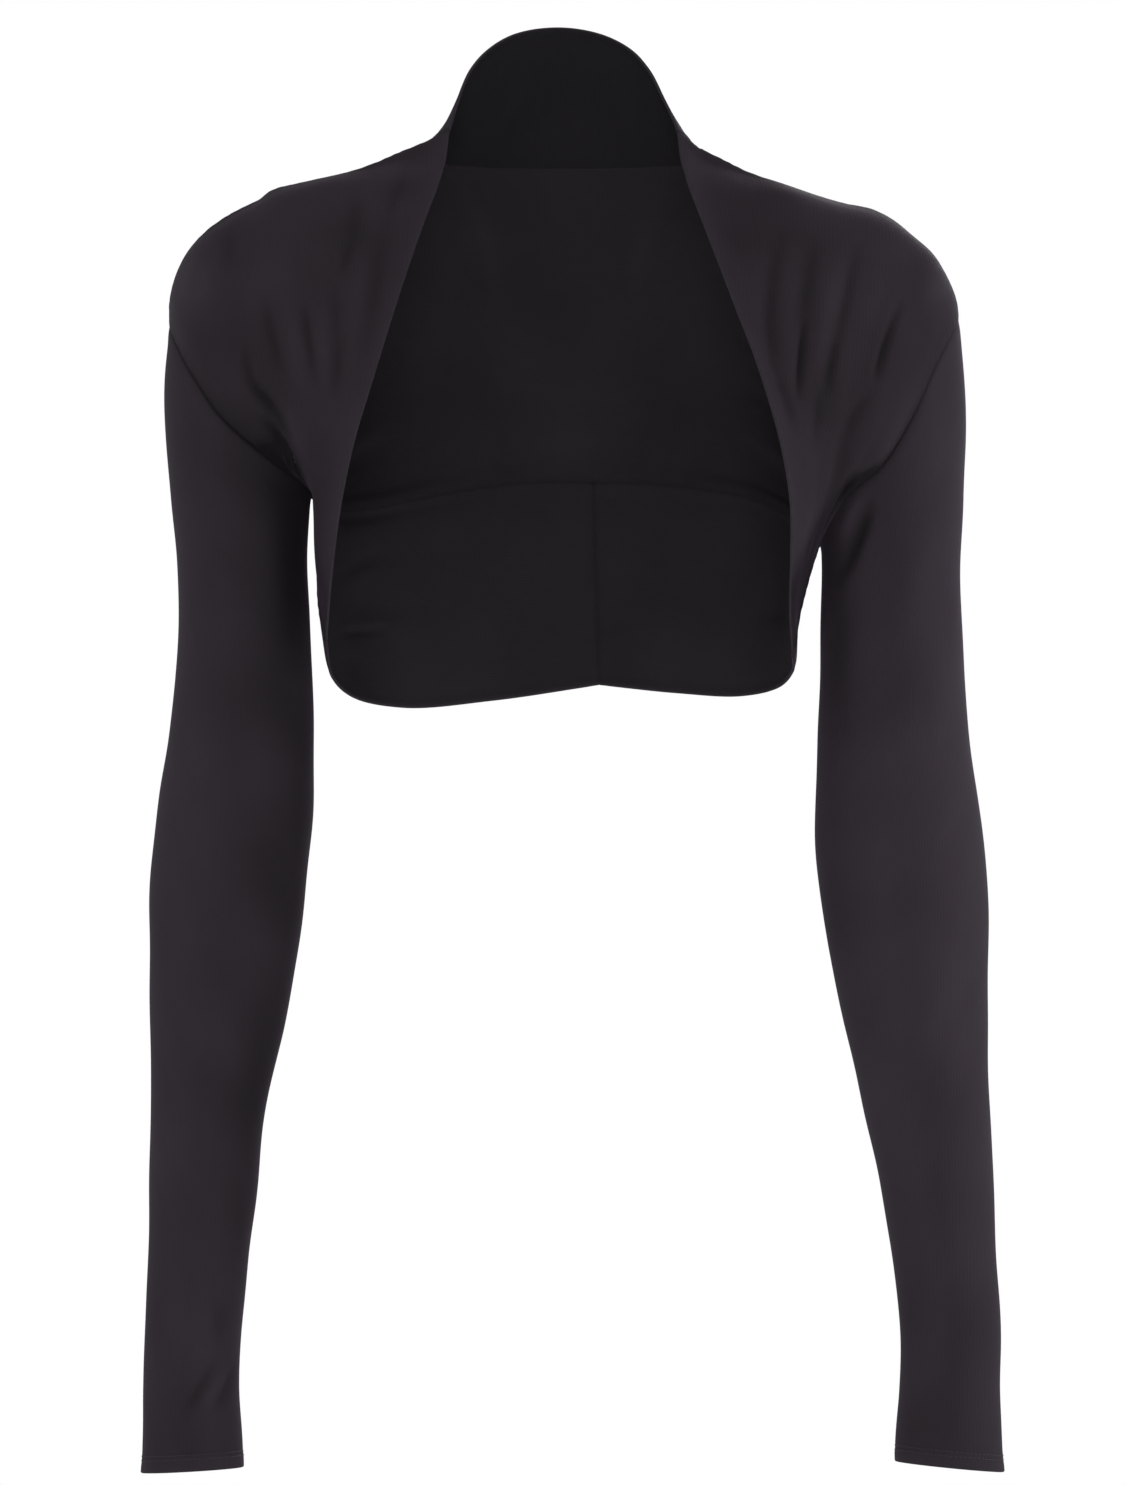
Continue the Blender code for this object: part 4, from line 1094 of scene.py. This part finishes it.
def make_collar():
    """The collar, in columns from its right end to its left one and rows from its fold to its seam."""
    shares = np.linspace(0, 1, COLLAR_COLUMNS + 1)
    seam_ends = [on_side(side, SHOULDER_SEAM[side][:1]) for side in (RIGHT, LEFT)]
    edge_ends = [on_side(side, OPENING_EDGE[side][:1]) for side in (RIGHT, LEFT)]
    seam = along(seam_ends[0] + NECK_SEAM + seam_ends[1], shares)
    edge = along(edge_ends[0] + COLLAR_EDGE + edge_ends[1], shares)
    rows = np.linspace(0, 1, COLLAR_ROWS + 1)[:, None]
    sides = [edge[end] + (seam[end] - edge[end]) * rows for end in (0, -1)]
    points = panel(edge, seam, sides[0], sides[1])
    points = sewn(points, "first", -leaving_collar_end(RIGHT, points[:, 0]), reach=COLLAR_END_REACH)
    points = sewn(points, "last", -leaving_collar_end(LEFT, points[:, -1]), reach=COLLAR_END_REACH)
    points = sewn(points, "top", set_back=TURN_SET_BACK)
    piece = panel_cloth(
        "folded_collar",
        points,
        inside_out=True,
        swell=COLLAR_SWELL,
        creases=COLLAR_CREASES,
        seams={"foot": NECK_FLATNESS, "first": 1, "last": 1},
        painted_shading=painted_edge_shading(points, ["first", "last"], ["top"]),
        facing=1,
        folded_edges=["top"],
        lining=shaded_collar_inside,
    )
    declare(piece, "collar")


make_collar()

# ======== the lower back band ========
# Two shaped halves joined at the centre back, sewn to the arched seam and the side seams. It hugs
# the body, so the right half creases across at its side, and its hem is folded.

BAND_SWELL = 0.4
BAND_ROWS = 72
HEM = {
    RIGHT: [
        Across(-132, 35, -268.5), Across(-118, 65, -280.5), Across(-94, 84, -284.5),
        Across(-42, 97, -280.3),
    ],
    LEFT: [
        Across(62, 95, -276.0), Across(98, 83, -278.0), Across(120, 57, -273.5),
        Across(127, 32, -265.5),
    ],
}
BAND_CREASES = {
    RIGHT: [
        Crease(-125.7, -180.7, -110.3, -175.6, -94.9, -170.5, 3, 0.8),
        Crease(-125.5, -211.1, -116.7, -203.8, -104.7, -198.8, 4, 1.6),
        Crease(-124.6, -226.7, -105.8, -230, -83.6, -228.5, 5, 0.8),
        Crease(-127.2, -242.5, -117.8, -242.1, -105.8, -240.7, 2.5, 1.6),
        Crease(-126.2, -239.6, -116.7, -238.1, -104.7, -235.6, 3, -0.9),
        Crease(-125.7, -254.8, -119.9, -265.3, -108, -275.3, 8, 1.8),
        Crease(-129, -193.6, -127.2, -224, -124.2, -254.7, 14, 1),
    ],
    LEFT: [
        Crease(123.6, -230.9, 117.1, -232.7, 107, -233.4, 4, 1),
        Crease(124.3, -178.8, 122.9, -212.8, 120.7, -252, 12, 1),
    ],
}


def make_band(side):
    """One half of the band, in columns from the side seam to the centre back."""
    armpit = armhole(side, front=True)[0][-1]
    hem_corner = on_side(side, OPENING_EDGE[side][-1:])
    rows = np.linspace(0, 1, BAND_ROWS + 1)
    top = arch_seam(side, armpit)
    hem = hem_corner + HEM[side][::-side] + CENTRE_BACK[-1:]
    foot = along(hem, np.linspace(0, 1, HALF_BAND_COLUMNS + 1))
    first = along([armpit] + on_side(side, SIDE_SEAM[side]) + hem_corner, rows)
    last = along(CENTRE_BACK, rows)
    points = panel(top, foot, first, last)
    points = sewn(points, "top", DOWNWARD)
    points = sewn(points, "first", BACKWARD)
    points = sewn(points, "last", np.array([side, 0, 0]))
    points = sewn(points, "foot", set_back=TURN_SET_BACK)
    piece = panel_cloth(
        f"back_band_{SIDE_NAMES[side]}",
        points,
        inside_out=side == RIGHT,
        swell=BAND_SWELL,
        creases=BAND_CREASES[side],
        seams={"top": 1, "first": 1, "last": 1},
        painted_shading=painted_edge_shading(points, ["top", "first", "last"], ["foot"]),
        facing=1,
        folded_edges=["foot"],
    )
    declare(piece, f"band_{SIDE_NAMES[side]}")


for body_side in (RIGHT, LEFT):
    make_band(body_side)
